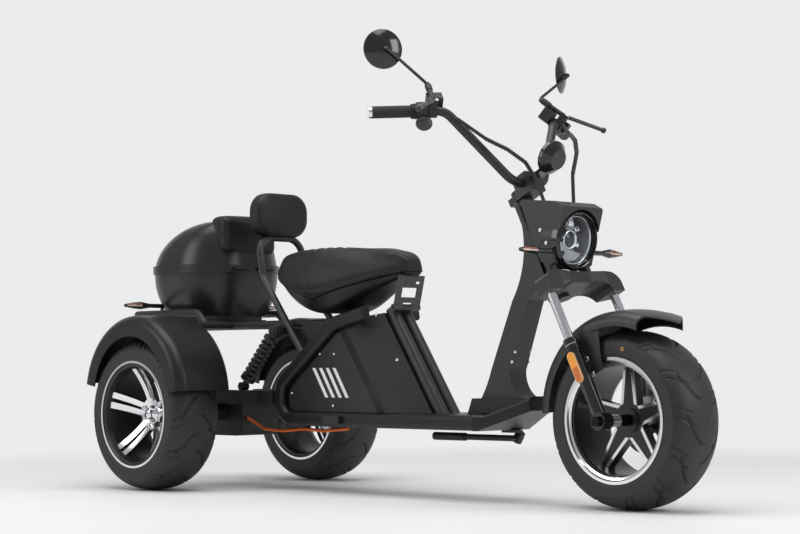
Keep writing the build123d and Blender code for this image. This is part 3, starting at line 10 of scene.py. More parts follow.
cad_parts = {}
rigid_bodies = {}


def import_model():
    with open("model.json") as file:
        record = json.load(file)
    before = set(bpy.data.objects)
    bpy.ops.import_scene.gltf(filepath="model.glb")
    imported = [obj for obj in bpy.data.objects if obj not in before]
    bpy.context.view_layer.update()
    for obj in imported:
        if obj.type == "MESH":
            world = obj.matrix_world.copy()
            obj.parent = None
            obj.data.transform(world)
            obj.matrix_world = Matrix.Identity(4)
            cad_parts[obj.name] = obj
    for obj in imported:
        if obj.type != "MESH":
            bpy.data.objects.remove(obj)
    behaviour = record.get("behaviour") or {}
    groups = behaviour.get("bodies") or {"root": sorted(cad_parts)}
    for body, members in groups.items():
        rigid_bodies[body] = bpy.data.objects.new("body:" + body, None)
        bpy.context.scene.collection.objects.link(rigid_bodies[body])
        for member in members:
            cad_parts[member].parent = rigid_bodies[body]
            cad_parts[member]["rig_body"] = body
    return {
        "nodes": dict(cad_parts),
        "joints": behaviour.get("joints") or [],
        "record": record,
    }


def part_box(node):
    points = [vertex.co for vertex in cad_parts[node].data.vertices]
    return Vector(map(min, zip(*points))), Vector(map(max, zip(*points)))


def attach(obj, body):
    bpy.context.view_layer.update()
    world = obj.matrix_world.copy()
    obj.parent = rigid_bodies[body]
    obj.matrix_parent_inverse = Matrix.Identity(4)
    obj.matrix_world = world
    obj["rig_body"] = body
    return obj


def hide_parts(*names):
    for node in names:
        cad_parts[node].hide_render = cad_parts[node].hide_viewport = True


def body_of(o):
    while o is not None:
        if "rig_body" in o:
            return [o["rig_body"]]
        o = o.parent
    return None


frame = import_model()
nodes = frame["nodes"]
joints = {j["name"]: j for j in frame["joints"]}
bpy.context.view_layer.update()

# The photo's camera: size of its picture in pixels, fitted turn, tilt and roll in radians, place and lens
PICTURE_W = 800.0
PICTURE_H = 534.0
TURN, TILT, ROLL = 0.8104, -0.0496, -0.0068
CAMERA_AT = Vector((4.19355, -3.988, 0.396))
LENS_MM = 86.45
SENSOR_MM = 36.0
FOCAL_PIXELS = LENS_MM / SENSOR_MM * PICTURE_W


def camera_rows():
    """Right, up and back of the camera as columns."""
    look = Vector((-sin(TURN) * cos(TILT), cos(TURN) * cos(TILT), -sin(TILT)))
    right = Vector((cos(TURN), sin(TURN), 0.0))
    up = right.cross(look)
    right, up = cos(ROLL) * right + sin(ROLL) * up, cos(ROLL) * up - sin(ROLL) * right
    return Matrix((right, up, -look)).transposed()


CAMERA_ROWS = camera_rows()


# Shader building: a socket that can be used in sums
class Sock:
    def __init__(self, tree, socket):
        self.tree = tree
        self.socket = socket

    def node(self, kind, inputs=None, out=0, **settings):
        """Adds a node, sets its properties, feeds its inputs and returns one output."""
        node = self.tree.nodes.new(kind)
        for name, value in settings.items():
            setattr(node, name, value)
        for key, value in (inputs or {}).items():
            self.feed(node.inputs[key], value)
        return Sock(self.tree, node.outputs[out])

    def feed(self, target, value):
        if isinstance(value, Sock):
            self.tree.links.new(value.socket, target)
        else:
            target.default_value = value

    def math(self, operation, a, b=0.0):
        return self.node("ShaderNodeMath", {0: a, 1: b}, operation=operation)

    def __add__(self, other):
        return self.math("ADD", self, other)

    __radd__ = __add__

    def __sub__(self, other):
        return self.math("SUBTRACT", self, other)

    def __rsub__(self, other):
        return self.math("SUBTRACT", other, self)

    def __mul__(self, other):
        return self.math("MULTIPLY", self, other)

    __rmul__ = __mul__

    def step(self, low, high):
        """0 below low, 1 above high, smooth between."""
        return self.node("ShaderNodeMapRange", {0: self, 1: low, 2: high}, interpolation_type="SMOOTHSTEP")

    def band(self, low, high, soft):
        """1 from low to high, with soft edges outside them."""
        return self.step(low - soft, low) * (1.0 - self.step(high, high + soft))

    def mix(self, a, b):
        """Colour a where this is 0 and b where it is 1."""
        return self.node("ShaderNodeMix", {"Factor": self, 6: a, 7: b}, out=2, data_type="RGBA")


def colour(value):
    """A grey level or a colour as four numbers."""
    if isinstance(value, (int, float)):
        return (value, value, value, 1.0)
    return (*value, 1.0)


def scaled(base, share):
    """A colour made darker or lighter."""
    return colour([c * share for c in base])


def seen_by(hand, kinds):
    """1 for light rays of any of the kinds."""
    rays = hand.node("ShaderNodeLightPath").socket.node.outputs
    mask = Sock(hand.tree, rays[kinds[0]])
    for kind in kinds[1:]:
        mask = hand.math("MAXIMUM", mask, Sock(hand.tree, rays[kind]))
    return mask


def blended(hand, factor, first, second):
    """Mixes two shaders and sends them to the tree's output."""
    both = hand.node("ShaderNodeMixShader", {0: factor, 1: first, 2: second})
    ending = next(n for n in hand.tree.nodes if n.type.startswith("OUTPUT"))
    hand.tree.links.new(both.socket, ending.inputs[0])


class Finish:
    """A material with one principled shader, and the place sockets to paint it with."""

    def __init__(self, name, base, rough, metallic=0.0, coat=0.0):
        self.material = bpy.data.materials.new(name)
        self.material.use_nodes = True
        tree = self.material.node_tree
        self.shader = next(n for n in tree.nodes if n.type == "BSDF_PRINCIPLED")
        self.hand = Sock(tree, None)
        self.place = self.hand.node("ShaderNodeTexCoord", out=3)
        xyz = tree.nodes.new("ShaderNodeSeparateXYZ")
        tree.links.new(self.place.socket, xyz.inputs[0])
        self.x, self.y, self.z = (Sock(tree, xyz.outputs[i]) for i in range(3))
        self.set("Base Color", colour(base))
        self.set("Roughness", rough)
        self.set("Metallic", metallic)
        self.set("Coat Weight", coat)

    def set(self, name, value):
        self.hand.feed(self.shader.inputs[name], value)

    def noise(self, scale, detail=4.0, rough=0.55):
        return self.hand.node("ShaderNodeTexNoise", {
            "Vector": self.place, "Scale": scale, "Detail": detail, "Roughness": rough})

    def cells(self, scale):
        return self.hand.node("ShaderNodeTexVoronoi", {"Vector": self.place, "Scale": scale})

    def bump(self, height, strength, distance):
        self.set("Normal", self.hand.node("ShaderNodeBump", {
            "Height": height, "Strength": strength, "Distance": distance}))


# Noise scales, in waves per metre, and bump depths that several finishes share
CLOUD_SCALE = 9.0
DUST_SCALE = 420.0
MARK_SCALE = 600.0
GRAIN_DEPTH = 0.0004
MARK_DEPTH = 0.0002


def moulded(name, base, rough, spread, grain, grain_scale, coat=0.0, shine=0.5):
    """Plastic or paint: cloudy tone, uneven gloss, faint dust and a fine grain."""
    skin = Finish(name, base, rough, coat=coat)
    cloud = skin.noise(CLOUD_SCALE)
    dust = skin.noise(DUST_SCALE, 2.0).step(0.66, 0.82)
    tone = cloud.mix(scaled(base, 0.82), scaled(base, 1.2))
    skin.set("Base Color", (dust * 0.12).mix(tone, colour([c + 0.05 for c in base])))
    skin.set("Roughness", cloud * spread + (rough - spread / 2) + dust * 0.06)
    skin.set("Specular IOR Level", shine)
    skin.bump(skin.noise(grain_scale, 3.0), grain, GRAIN_DEPTH)
    return skin.material


def metal(name, base, rough, spread, line_scale, strength):
    """Bare metal with fine turning or brushing marks."""
    skin = Finish(name, base, rough, metallic=1.0)
    cloud = skin.noise(30.0)
    marks = skin.noise(line_scale, 2.0)
    skin.set("Base Color", cloud.mix(scaled(base, 0.9), colour(base)))
    skin.set("Roughness", marks * spread + (rough - spread / 2))
    skin.bump(marks, strength, MARK_DEPTH)
    return skin.material


def leather(name, base):
    """Fine-grained leather with soft creases, with painted shade in their hollows and a painted highlight
    on their ridges.
    """
    skin = Finish(name, base, 0.44)
    grain = skin.cells(520.0).step(0.02, 0.5)
    crease = skin.noise(22.0, 3.0)
    # painted shade and highlight: the colour follows the crease height, darker in the hollows and lighter
    # on the ridges
    skin.set("Base Color", crease.mix(scaled(base, 0.8), scaled(base, 1.25)))
    skin.set("Roughness", 0.36 + crease * 0.12 + grain * 0.06)
    skin.set("Specular IOR Level", 0.34)
    skin.bump(grain * 0.35 + crease * 0.65, 0.32, 0.0009)
    return skin.material


def clear(name, base, rough):
    """Clear or tinted plastic, faintly marked."""
    skin = Finish(name, base, rough)
    skin.set("Roughness", skin.noise(60.0) * 0.05 + rough)
    skin.set("Transmission Weight", 1.0)
    skin.set("IOR", 1.25)
    skin.set("Specular IOR Level", 0.25)
    return skin.material


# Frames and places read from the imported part
def middle(node):
    low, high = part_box(node)
    return (Vector(low) + Vector(high)) / 2


FRONT_HUB = middle("front_tyre")
RIGHT_HUB = middle("rear_tyre_right")
LEFT_HUB = middle("rear_tyre_left")
HEAD = Vector(joints["steer"]["pos_m"])
STEER_UP = Vector(joints["steer"]["axis"]).normalized()
STEER_FORWARD = Vector((0, 1, 0)).cross(STEER_UP)
LAMP_DIP = radians(8.0)
LAMP_FORWARD = 0.101
LAMP_DROP = 0.0345
LAMP_OUT = Vector((cos(LAMP_DIP), 0.0, -sin(LAMP_DIP)))
LAMP_AT = HEAD + LAMP_FORWARD * STEER_FORWARD - LAMP_DROP * STEER_UP
RIGHT_GRIP = frame["record"]["mounts"][0]
GRIP_AT = Vector(RIGHT_GRIP["pos_m"])
GRIP_AXIS = Vector(RIGHT_GRIP["axis"])
FENDER_AT = FRONT_HUB + Vector((0.017, 0.0, 0.017))
TYRE_R = 0.2385
BARREL_R = 0.1454


def wheel_radius(skin, hub):
    """Distance from a wheel's axle."""
    ahead = skin.x - hub.x
    above = skin.z - hub.z
    return skin.hand.math("SQRT", ahead * ahead + above * above)


def part_polished(skin, polished, bright, black_rough, drop):
    """Black paint, and bare polished metal where the mask is 1."""
    marks = skin.noise(MARK_SCALE, 2.0)
    skin.set("Base Color", polished.mix(colour(0.012), colour(bright)))
    skin.set("Metallic", polished)
    skin.set("Roughness", polished * -drop + black_rough + marks * 0.05)
    skin.bump(marks, 0.04, MARK_DEPTH)
    return skin.material


def front_rim_finish():
    """Black star of five spokes with machined window edges, and a polished lip."""
    skin = Finish("front_rim_black_and_polished", (0.012, 0.012, 0.013), 0.3)
    radius = wheel_radius(skin, FRONT_HUB)
    angle = skin.hand.math("ARCTAN2", skin.z - FRONT_HUB.z, skin.x - FRONT_HUB.x)
    fifth = 2 * pi / 5
    from_spoke = angle - pi / 2
    turn = skin.hand.node("ShaderNodeMath", {0: from_spoke, 1: fifth / 2, 2: -fifth / 2}, operation="WRAP")
    along = radius * skin.hand.math("COSINE", turn)
    across = radius * skin.hand.math("ABSOLUTE", skin.hand.math("SINE", turn))
    half_at_hub = 0.031
    taper = 0.016 / 0.1474
    machined_width = 0.0085
    edge = half_at_hub - along * taper
    face = (1.0 - skin.y.step(-0.0212, -0.0168)) * skin.y.step(-0.027, -0.0228)
    on_star = face * (1.0 - radius.step(0.143, 0.1452))
    machined = (across - edge + machined_width).step(-0.0006, 0.0006) * radius.step(0.046, 0.048)
    lip = radius.step(0.1478, 0.1486)
    polished = skin.hand.math("MAXIMUM", lip, machined * on_star)
    return part_polished(skin, polished, (0.80, 0.80, 0.82), 0.30, 0.16)


def rear_rim_finish(name, hub):
    """Polished bars and lip over a black barrel."""
    skin = Finish(name, (0.012, 0.012, 0.013), 0.3)
    barrel_low = 0.1440
    barrel_high = 0.1608
    barrel = wheel_radius(skin, hub).band(barrel_low, barrel_high, 0.0008)
    return part_polished(skin, 1.0 - barrel, (0.82, 0.82, 0.84), 0.32, 0.20)


def fender_finish():
    """Satin black outside and grey-green inside."""
    skin = Finish("front_fender_satin", (0.017, 0.0175, 0.0185), 0.40)
    radius = wheel_radius(skin, FENDER_AT)
    across = skin.hand.math("ABSOLUTE", skin.y)
    crown_r = 0.2762
    crown_fall = 1.154
    crown = (crown_r - skin.y * skin.y * crown_fall - radius).step(-0.0004, 0.0004)
    crown = crown * (1.0 - across.step(0.065, 0.067))
    skirt = (1.0 - across.step(0.0974, 0.0980)) * (1.0 - radius.step(0.237, 0.239))
    inside = skin.hand.math("MAXIMUM", crown, skirt) * radius.step(0.2312, 0.2318)
    cloud = skin.noise(CLOUD_SCALE)
    tone = cloud.mix(colour((0.0145, 0.015, 0.016)), colour((0.020, 0.0205, 0.0215)))
    lining = cloud.mix(colour((0.060, 0.064, 0.056)), colour((0.085, 0.090, 0.078)))
    skin.set("Base Color", inside.mix(tone, lining))
    skin.set("Roughness", cloud * 0.10 + 0.35 + inside * 0.12)
    skin.bump(skin.noise(1500.0, 3.0), 0.10, GRAIN_DEPTH)
    return skin.material


def body_finish():
    """Body black with four slim pale bars on each side."""
    skin = Finish("body_panel_black", (0.015, 0.0155, 0.0165), 0.37)
    cloud = skin.noise(CLOUD_SCALE)
    back = -0.262
    middle_z = 0.335
    slope = 0.66
    pitch = 0.031
    run = skin.x + (skin.z - middle_z) * slope - back
    lane = skin.hand.node("ShaderNodeMath", {0: run, 1: pitch, 2: 0.0}, operation="WRAP")
    bar = lane.band(0.0012, 0.0150, 0.0008)
    group = run.step(0.0, 0.0005) * (1.0 - run.step(0.1238, 0.1242))
    height = skin.z.band(0.2908, 0.3800, 0.0008)
    on_side = skin.hand.math("ABSOLUTE", skin.y).step(0.094, 0.096)
    stripe = bar * group * height * on_side
    tone = cloud.mix(colour((0.0150, 0.0155, 0.0165)), colour((0.0215, 0.0222, 0.0234)))
    skin.set("Base Color", stripe.mix(tone, colour(0.80)))
    skin.set("Roughness", cloud * 0.10 + 0.32)
    skin.bump(skin.noise(1700.0, 3.0), 0.10, GRAIN_DEPTH)
    return skin.material


def grip_finish():
    """Ribbed rubber with a bright end cap."""
    skin = Finish("grip_rubber_and_cap", (0.014, 0.014, 0.014), 0.62)
    side = skin.hand.math("ABSOLUTE", skin.y) + GRIP_AT.y
    run = (skin.x - GRIP_AT.x) * GRIP_AXIS.x - side * GRIP_AXIS.y + (skin.z - GRIP_AT.z) * GRIP_AXIS.z
    cap_start = 0.0561
    rib_rate = 1250.0
    cap = run.step(cap_start, cap_start + 0.0005)
    cloud = skin.noise(40.0)
    rubber = cloud.mix(colour(0.011), colour(0.019))
    skin.set("Base Color", cap.mix(rubber, colour((0.80, 0.81, 0.83))))
    skin.set("Metallic", cap)
    skin.set("Roughness", cap * -0.50 + 0.60 + cloud * 0.06)
    ribs = skin.hand.math("SINE", run * rib_rate) * (1.0 - cap)
    skin.bump(ribs, 0.5, 0.0008)
    return skin.material


def axle_finish():
    """Bright spacer beside each leg, dark hub sleeve and nuts."""
    skin = Finish("front_axle_steel", (0.02, 0.02, 0.02), 0.3, metallic=1.0)
    across = skin.hand.math("ABSOLUTE", skin.y)
    bright = across.band(0.069, 0.112, 0.001)
    marks = skin.noise(900.0, 2.0)
    skin.set("Base Color", bright.mix(colour(0.02), colour((0.62, 0.62, 0.64))))
    skin.set("Roughness", marks * 0.12 + 0.26)
    skin.bump(marks, 0.10, MARK_DEPTH)
    return skin.material


def reflector_finish():
    """Two ambers with a pale rim, on the long plates beside the fork legs."""
    skin = Finish("amber_reflector", (0.62, 0.15, 0.012), 0.2, coat=0.5)
    at = np.array([v.co for v in nodes["reflectors"].data.vertices])
    along = at @ np.array(STEER_UP)
    across = at @ np.array(STEER_FORWARD)
    run = skin.x * STEER_UP.x + skin.z * STEER_UP.z - float(along.max() + along.min()) / 2
    off = skin.x * STEER_FORWARD.x + skin.z * STEER_FORWARD.z - float(across.max() + across.min()) / 2
    half = float(across.max() - across.min()) / 2
    straight = float(along.max() - along.min()) / 2 - half
    past = skin.hand.math("MAXIMUM", skin.hand.math("ABSOLUTE", run) - straight, 0.0)
    rim = skin.hand.math("SQRT", off * off + past * past).step(half - 0.0022, half - 0.0016)
    facets = skin.cells(420.0).step(0.1, 0.6)
    tone = run.step(-0.0006, 0.0006).mix(colour((0.55, 0.095, 0.006)), colour((0.92, 0.31, 0.008)))
    tone = (facets * 0.22).mix(tone, colour((0.98, 0.55, 0.12)))
    skin.set("Base Color", rim.mix(tone, colour((0.85, 0.48, 0.22))))
    skin.set("Roughness", facets * 0.10 + 0.16)
    skin.bump(facets, 0.15, GRAIN_DEPTH)
    return skin.material


def signal_finish(name, node, start):
    """Black stem and body with a pale streak and a brown lens above it."""
    skin = Finish(name, (0.012, 0.012, 0.012), 0.22, coat=0.4)
    lamp_r = 0.013
    middle_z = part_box(node)[1].z - lamp_r
    across = skin.hand.math("ABSOLUTE", skin.y)
    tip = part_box(node)[1].y
    out = across.step(start, start + 0.002) * (1.0 - across.step(tip - 0.009, tip - 0.006))
    up = skin.z - middle_z
    streak = out * up.band(-0.0022, 0.0006, 0.0010)
    lens = out * up.step(0.0006, 0.0016) * (1.0 - up.step(0.0070, 0.0085))
    cloud = skin.noise(60.0)
    tone = lens.mix(cloud.mix(colour(0.009), colour(0.015)), colour((0.16, 0.060, 0.022)))
    skin.set("Base Color", streak.mix(tone, colour((0.76, 0.58, 0.46))))
    skin.set("Roughness", cloud * 0.08 + 0.18)
    skin.bump(skin.noise(500.0, 2.0), 0.05, 0.0003)
    return skin.material


def tyre_finish(name, mark=None):
    """Rubber with painted shade in the tread cuts, and one small painted ring where a mark is given."""
    skin = Finish(name, (0.016, 0.0162, 0.017), 0.56)
    cut = skin.hand.node("ShaderNodeAttribute", out=2, attribute_name="cut")
    cloud = skin.noise(CLOUD_SCALE)
    dust = skin.noise(DUST_SCALE, 2.0).step(0.62, 0.82)
    tone = cloud.mix(colour((0.0135, 0.0137, 0.0145)), colour((0.0195, 0.0198, 0.0207)))
    tone = (dust * 0.12).mix(tone, colour(0.065))
    # painted shade: points in the tread cuts are coloured near black
    tone = cut.step(0.0, 0.8).mix(tone, colour(0.0025))
    if mark:
        gaps = [a - b for a, b in zip((skin.x, skin.y, skin.z), mark)]
        away = skin.hand.math("SQRT", gaps[0] * gaps[0] + gaps[1] * gaps[1] + gaps[2] * gaps[2])
        ring = away.band(0.0034, 0.0052, 0.0004)
        tone = ring.mix(tone, colour((0.62, 0.36, 0.06)))
    skin.set("Base Color", tone)
    skin.set("Roughness", cloud * 0.14 + 0.46 + dust * 0.06)
    skin.bump(skin.noise(900.0, 3.0), 0.2, GRAIN_DEPTH)
    return skin.material


SATIN = moulded("satin_black", (0.017, 0.0175, 0.0185), 0.40, 0.10, 0.10, 1500.0)
BODY = moulded("body_black", (0.0095, 0.0098, 0.0105), 0.36, 0.10, 0.10, 1700.0, shine=0.36)
GLOSS = moulded("gloss_black", (0.008, 0.008, 0.009), 0.16, 0.06, 0.02, 900.0, coat=0.4)
MATT = moulded("matt_black", (0.016, 0.016, 0.017), 0.52, 0.10, 0.25, 1200.0)
COIL = moulded("coil_black", (0.022, 0.022, 0.023), 0.24, 0.06, 0.05, 900.0)
BOX = moulded("box_black", (0.011, 0.011, 0.012), 0.33, 0.08, 0.06, 1100.0)
SLATE = moulded("dark_grey_paint", (0.040, 0.041, 0.043), 0.42, 0.10, 0.15, 1200.0)
TYRE = tyre_finish("tyre_rubber")
CHROME = metal("chrome", (0.80, 0.81, 0.83), 0.07, 0.05, 300.0, 0.02)
DARK_CHROME = metal("dark_chrome", (0.035, 0.037, 0.040), 0.12, 0.06, 300.0, 0.03)
STEEL = metal("brushed_steel", (0.50, 0.50, 0.52), 0.32, 0.14, 900.0, 0.12)
CAST = metal("cast_alloy", (0.36, 0.36, 0.38), 0.45, 0.14, 500.0, 0.25)
BRASS = metal("brass", (0.72, 0.52, 0.20), 0.25, 0.10, 500.0, 0.05)
PALE = moulded("pale_lamp_plastic", (0.42, 0.43, 0.44), 0.25, 0.06, 0.05, 700.0, coat=0.3)
HIDE = leather("black_leather", (0.0085, 0.0085, 0.0092))
ORANGE = moulded("orange_cable", (0.70, 0.13, 0.015), 0.42, 0.10, 0.1, 600.0)
LENS = clear("lamp_lens", (0.92, 0.94, 0.96), 0.02)
MIRROR = metal("mirror_glass", (0.86, 0.88, 0.90), 0.03, 0.02, 60.0, 0.005)

FINISH_OF = {
    SATIN: "neck_column fork_yoke nacelle upper_tubes handlebar bar_clamp backrest_hoop front_tubes",
    fender_finish(): "front_fender",
    BODY: "floorboard body_rims rear_fender_right rear_fender_left seat_pan",
    body_finish(): "battery_body",
    GLOSS: "fork_lowers headlight_bezel mirrors dial brake_levers",
    MATT: "swing_arm rear_rack rack_plate motor_block shock_absorbers stand_bracket side_stand foot_pegs "
          "switchgear master_cylinders rear_axle cable_wraps",
    BOX: "top_box_tub top_box_lid",
    grip_finish(): "grips",
    TYRE: "front_tyre rear_tyre_right rear_tyre_left",
    CHROME: "fork_stanchions",
    front_rim_finish(): "front_rim",
    rear_rim_finish("right_rim_polished", RIGHT_HUB): "rear_rim_right",
    rear_rim_finish("left_rim_polished", LEFT_HUB): "rear_rim_left",
    STEEL: "brake_disc",
    axle_finish(): "front_axle",
    CAST: "brake_caliper",
    SLATE: "seat_bracket",
    HIDE: "seat_cushion backrest_pad lid_pad",
    reflector_finish(): "reflectors",
    signal_finish("front_signal_black", "front_signals", 0.150): "front_signals",
    signal_finish("rear_signal_black", "rear_signals", 0.258): "rear_signals",
    ORANGE: "motor_cable",
    LENS: "headlight_lens",
    MIRROR: "mirror_glass",
}
for finish, names in FINISH_OF.items():
    for name in names.split():
        nodes[name].data.materials.clear()
        nodes[name].data.materials.append(finish)


# Pieces: each takes its place from its mesh and rides on a body
def new_piece(name, bm, body, finishes, smooth=True):
    mesh = bpy.data.meshes.new(name)
    bmesh.ops.recalc_face_normals(bm, faces=bm.faces)
    bm.to_mesh(mesh)
    bm.free()
    for face in mesh.polygons:
        face.use_smooth = smooth
    for finish in finishes:
        mesh.materials.append(finish)
    piece = bpy.data.objects.new(name, mesh)
    bpy.context.scene.collection.objects.link(piece)
    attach(piece, body)
    return piece


def spun(bm, profile, steps, place, material=0):
    """Full turn of (radius, height) points about Z, moved to a place."""
    old = set(bm.verts)
    old_faces = set(bm.faces)
    points = [bm.verts.new((r, 0.0, z)) for r, z in profile]
    edges = [bm.edges.new((a, b)) for a, b in zip(points, points[1:])]
    bmesh.ops.spin(bm, geom=points + edges, cent=(0, 0, 0), axis=(0, 0, 1), dvec=(0, 0, 0), angle=2 * pi,
                   steps=steps, use_merge=True, use_duplicate=False)
    fresh = [v for v in bm.verts if v not in old]
    bmesh.ops.remove_doubles(bm, verts=fresh, dist=1e-6)
    fresh = [v for v in bm.verts if v not in old]
    bmesh.ops.transform(bm, matrix=place, verts=fresh)
    for face in bm.faces:
        if face not in old_faces:
            face.material_index = material


def facing(at, out):
    """Place whose Z axis points along out."""
    return Matrix.Translation(at) @ out.to_track_quat("Z", "Y").to_matrix().to_4x4()


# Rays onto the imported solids
TREES = {}


def tree_of(name):
    if name not in TREES:
        mesh = nodes[name].data
        faces = [p.vertices for p in mesh.polygons]
        TREES[name] = BVHTree.FromPolygons([v.co for v in mesh.vertices], faces)
    return TREES[name]


def cast(origin, way, names):
    """Nearest hit of a ray on the named solids: (node, place, normal)."""
    best = None
    for name in names:
        place, normal, _, reach = tree_of(name).ray_cast(origin, way)
        if place is not None and (best is None or reach < best[0]):
            best = (reach, name, place, normal if normal.dot(way) < 0 else -normal)
    return best[1:] if best else None


def pixel_ray(u, v):
    """Ray of the photo's camera through a picture point."""
    across = (u - PICTURE_W / 2) / FOCAL_PIXELS
    up = (PICTURE_H / 2 - v) / FOCAL_PIXELS
    return CAMERA_AT, (CAMERA_ROWS @ Vector((across, up, -1.0))).normalized()


# Tyres: sizes of the section
WALL_R = 0.1929
TYRE_HALF = 0.091
BEAD_DROP = 0.0701
BEAD_HALF = 0.0805
BORE_R = 0.1530
BORE_HALF = 0.0800
ROUNDNESS = 2.3
SECTION_STEPS = 96

# Tread grooves on each half, as shares from the crown to the shoulder
# (start share, end share, start degrees, swept degrees, bend, width, depth)
TREAD = [
    (0.10, 0.74, 0.0, 17.0, 1.6, 0.0060, 0.0045),
    (0.44, 1.00, 11.0, 7.0, 1.3, 0.0052, 0.0038),
    (0.60, 1.04, 19.5, 4.5, 1.2, 0.0044, 0.0030),
]
DEEPEST_CUT = max(row[-1] for row in TREAD)
TREAD_HALF = 0.084
TREAD_LOW_R = 0.205
PITCHES = 13
PITCH_STEPS = 43

# Rings on the walls, raised or sunk (radius, height, width), and how far across the walls start
WALL_RINGS = [(0.1760, 0.0012, 0.0020), (0.1835, -0.0010, 0.0016), (0.2020, 0.0012, 0.0018)]
WALL_HALF = 0.082

# Picture point of the small painted ring on the front tyre
RING_PIXEL = (622, 349)


def tyre_profile():
    """Rounded section (radius, across) from one bead over the crown to the other."""
    start = -0.56       # radians below the widest place
    points = []
    for i in range(SECTION_STEPS + 1):
        t = start + (pi - 2 * start) * i / SECTION_STEPS
        c, s = cos(t), sin(t)
        across = TYRE_HALF * (1 if c > 0 else -1) * abs(c) ** (2 / ROUNDNESS)
        reach = TYRE_R - WALL_R if s > 0 else -BEAD_DROP
        points.append((WALL_R + reach * abs(s) ** (2 / ROUNDNESS), across))
    lip = [(points[0][0] - 0.001, BEAD_HALF), (BORE_R, BORE_HALF)]
    return lip[::-1] + points + [(r, -y) for r, y in lip] + [lip[1]]


def groove_depth(angle, share, reverse):
    """Depth of the tread cut at each angle and signed share across the tread."""
    depth = np.zeros_like(angle)
    pitch = 2 * pi / PITCHES
    for side in (-1, 1):
        out = share * side
        for start, end, first, swept, bend, width, cut in TREAD:
            t = np.clip((out - start) / (end - start), 0.0, 1.0)
            lane = radians(first) + radians(swept) * t ** bend + (pitch / 2 if side > 0 else 0.0)
            gap = (reverse * angle - lane + pitch / 2) % pitch - pitch / 2
            turn = radians(swept) * bend * np.maximum(t, 0.02) ** (bend - 1)
            slope = turn * TYRE_R / ((end - start) * TREAD_HALF)
            near = np.abs(gap) * TYRE_R / np.sqrt(1 + slope ** 2)
            ends = np.maximum(start - out, out - end) * TREAD_HALF
            near = np.hypot(near, np.maximum(ends, 0.0))
            shape = np.clip(1.6 - near / (width / 2) * 1.1, 0.0, 1.0)
            depth = np.maximum(depth, cut * shape * shape * (3 - 2 * shape))
    return depth


def tyre_blank():
    """Plain tyre about Z: one pitch is spun, then repeated round the turn."""
    bm = bmesh.new()
    points = [bm.verts.new((r, 0.0, z)) for r, z in tyre_profile()]
    edges = [bm.edges.new((a, b)) for a, b in zip(points, points[1:])]
    pitch = 2 * pi / PITCHES
    bmesh.ops.spin(bm, geom=points + edges, cent=(0, 0, 0), axis=(0, 0, 1), dvec=(0, 0, 0), angle=pitch,
                   steps=PITCH_STEPS, use_merge=False, use_duplicate=False)
    first = bm.verts[:] + bm.edges[:] + bm.faces[:]
    for i in range(1, PITCHES):
        again = bmesh.ops.duplicate(bm, geom=first)["geom"]
        verts = [g for g in again if isinstance(g, bmesh.types.BMVert)]
        bmesh.ops.rotate(bm, verts=verts, cent=(0, 0, 0), matrix=Matrix.Rotation(pitch * i, 3, "Z"))
    bmesh.ops.remove_doubles(bm, verts=bm.verts, dist=1e-6)
    return bm


def tyre_piece(name, node, body, hub, reverse, finish):
    """Treaded tyre, with how deep each point is cut as an attribute, which its finish turns into painted
    shade.
    """
    bm = tyre_blank()
    place = np.array([v.co for v in bm.verts])
    radius = np.hypot(place[:, 0], place[:, 1])
    angle = np.arctan2(place[:, 1], place[:, 0])
    share = place[:, 2] / TREAD_HALF
    depth = np.where(radius > TREAD_LOW_R, groove_depth(angle, share, reverse), 0.0)
    wall = np.zeros_like(radius)
    for ring, size, width in WALL_RINGS:
        wall += size * np.exp(-((radius - ring) / width) ** 2)
    wall = np.where(np.abs(place[:, 2]) > WALL_HALF, wall, 0.0) * np.sign(place[:, 2])
    shrink = 1.0 - depth / radius
    place[:, 0] *= shrink
    place[:, 1] *= shrink
    place[:, 2] += wall
    for vert, at in zip(bm.verts, place):
        vert.co = at
    turn = Matrix.Translation(hub) @ Matrix.Rotation(pi / 2, 4, "X")
    bmesh.ops.transform(bm, matrix=turn, verts=bm.verts)
    piece = new_piece(name, bm, body, [finish])
    shade = piece.data.attributes.new("cut", "FLOAT", "POINT")
    shade.data.foreach_set("value", depth / DEEPEST_CUT)
    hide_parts(node)


MARKED = tyre_finish("tyre_rubber_marked", cast(*pixel_ray(*RING_PIXEL), ["front_tyre"])[1])
tyre_piece("front_tyre_treaded", "front_tyre", "front_wheel", FRONT_HUB, 1, MARKED)
tyre_piece("rear_tyre_right_treaded", "rear_tyre_right", "rear_wheel_right", RIGHT_HUB, -1, TYRE)
tyre_piece("rear_tyre_left_treaded", "rear_tyre_left", "rear_wheel_left", LEFT_HUB, -1, TYRE)


# Padded pieces, swollen by cloth simulation
PAD_VOXEL = 0.006
PAD_PRESSURE = 4.0
SWELL_FRAMES = 20
CALM_ROUNDS = 14
HELD_FACING = 0.45      # points that face back more than this are held
HELD_IN = 0.001

# Picture points of the upper and lower end of the seat's side seam
SEAM_TOP = (302, 274)
SEAM_FOOT = (310, 293)

# Widths and depths of the seams and the quilting, and the quilted patch as shares along the seat
SEAM_W = 0.0035
SEAM_DEPTH = 0.0022
EDGE_SEAM_W = 0.003
EDGE_SEAM_DEPTH = 0.0016
QUILT_W = 0.005
QUILT_DEPTH = 0.0045
QUILT_PITCH = 0.044
QUILT_BACK = 0.20
QUILT_FRONT = 0.58
QUILT_HALF = 0.088


def evaluated(piece):
    graph = bpy.context.evaluated_depsgraph_get()
    return bpy.data.meshes.new_from_object(piece.evaluated_get(graph))


def points_of(mesh):
    return np.array([v.co for v in mesh.vertices])


def calmed(move, mesh):
    """Each point's move averaged with its neighbours', a few times over, which takes small wrinkles out."""
    ends = np.array([e.vertices[:] for e in mesh.edges])
    for _ in range(CALM_ROUNDS):
        total = move.copy()
        count = np.ones(len(move))
        for a, b in ((0, 1), (1, 0)):
            np.add.at(total, ends[:, a], move[ends[:, b]])
            np.add.at(count, ends[:, a], 1.0)
        move = total / count[:, None]
    return move


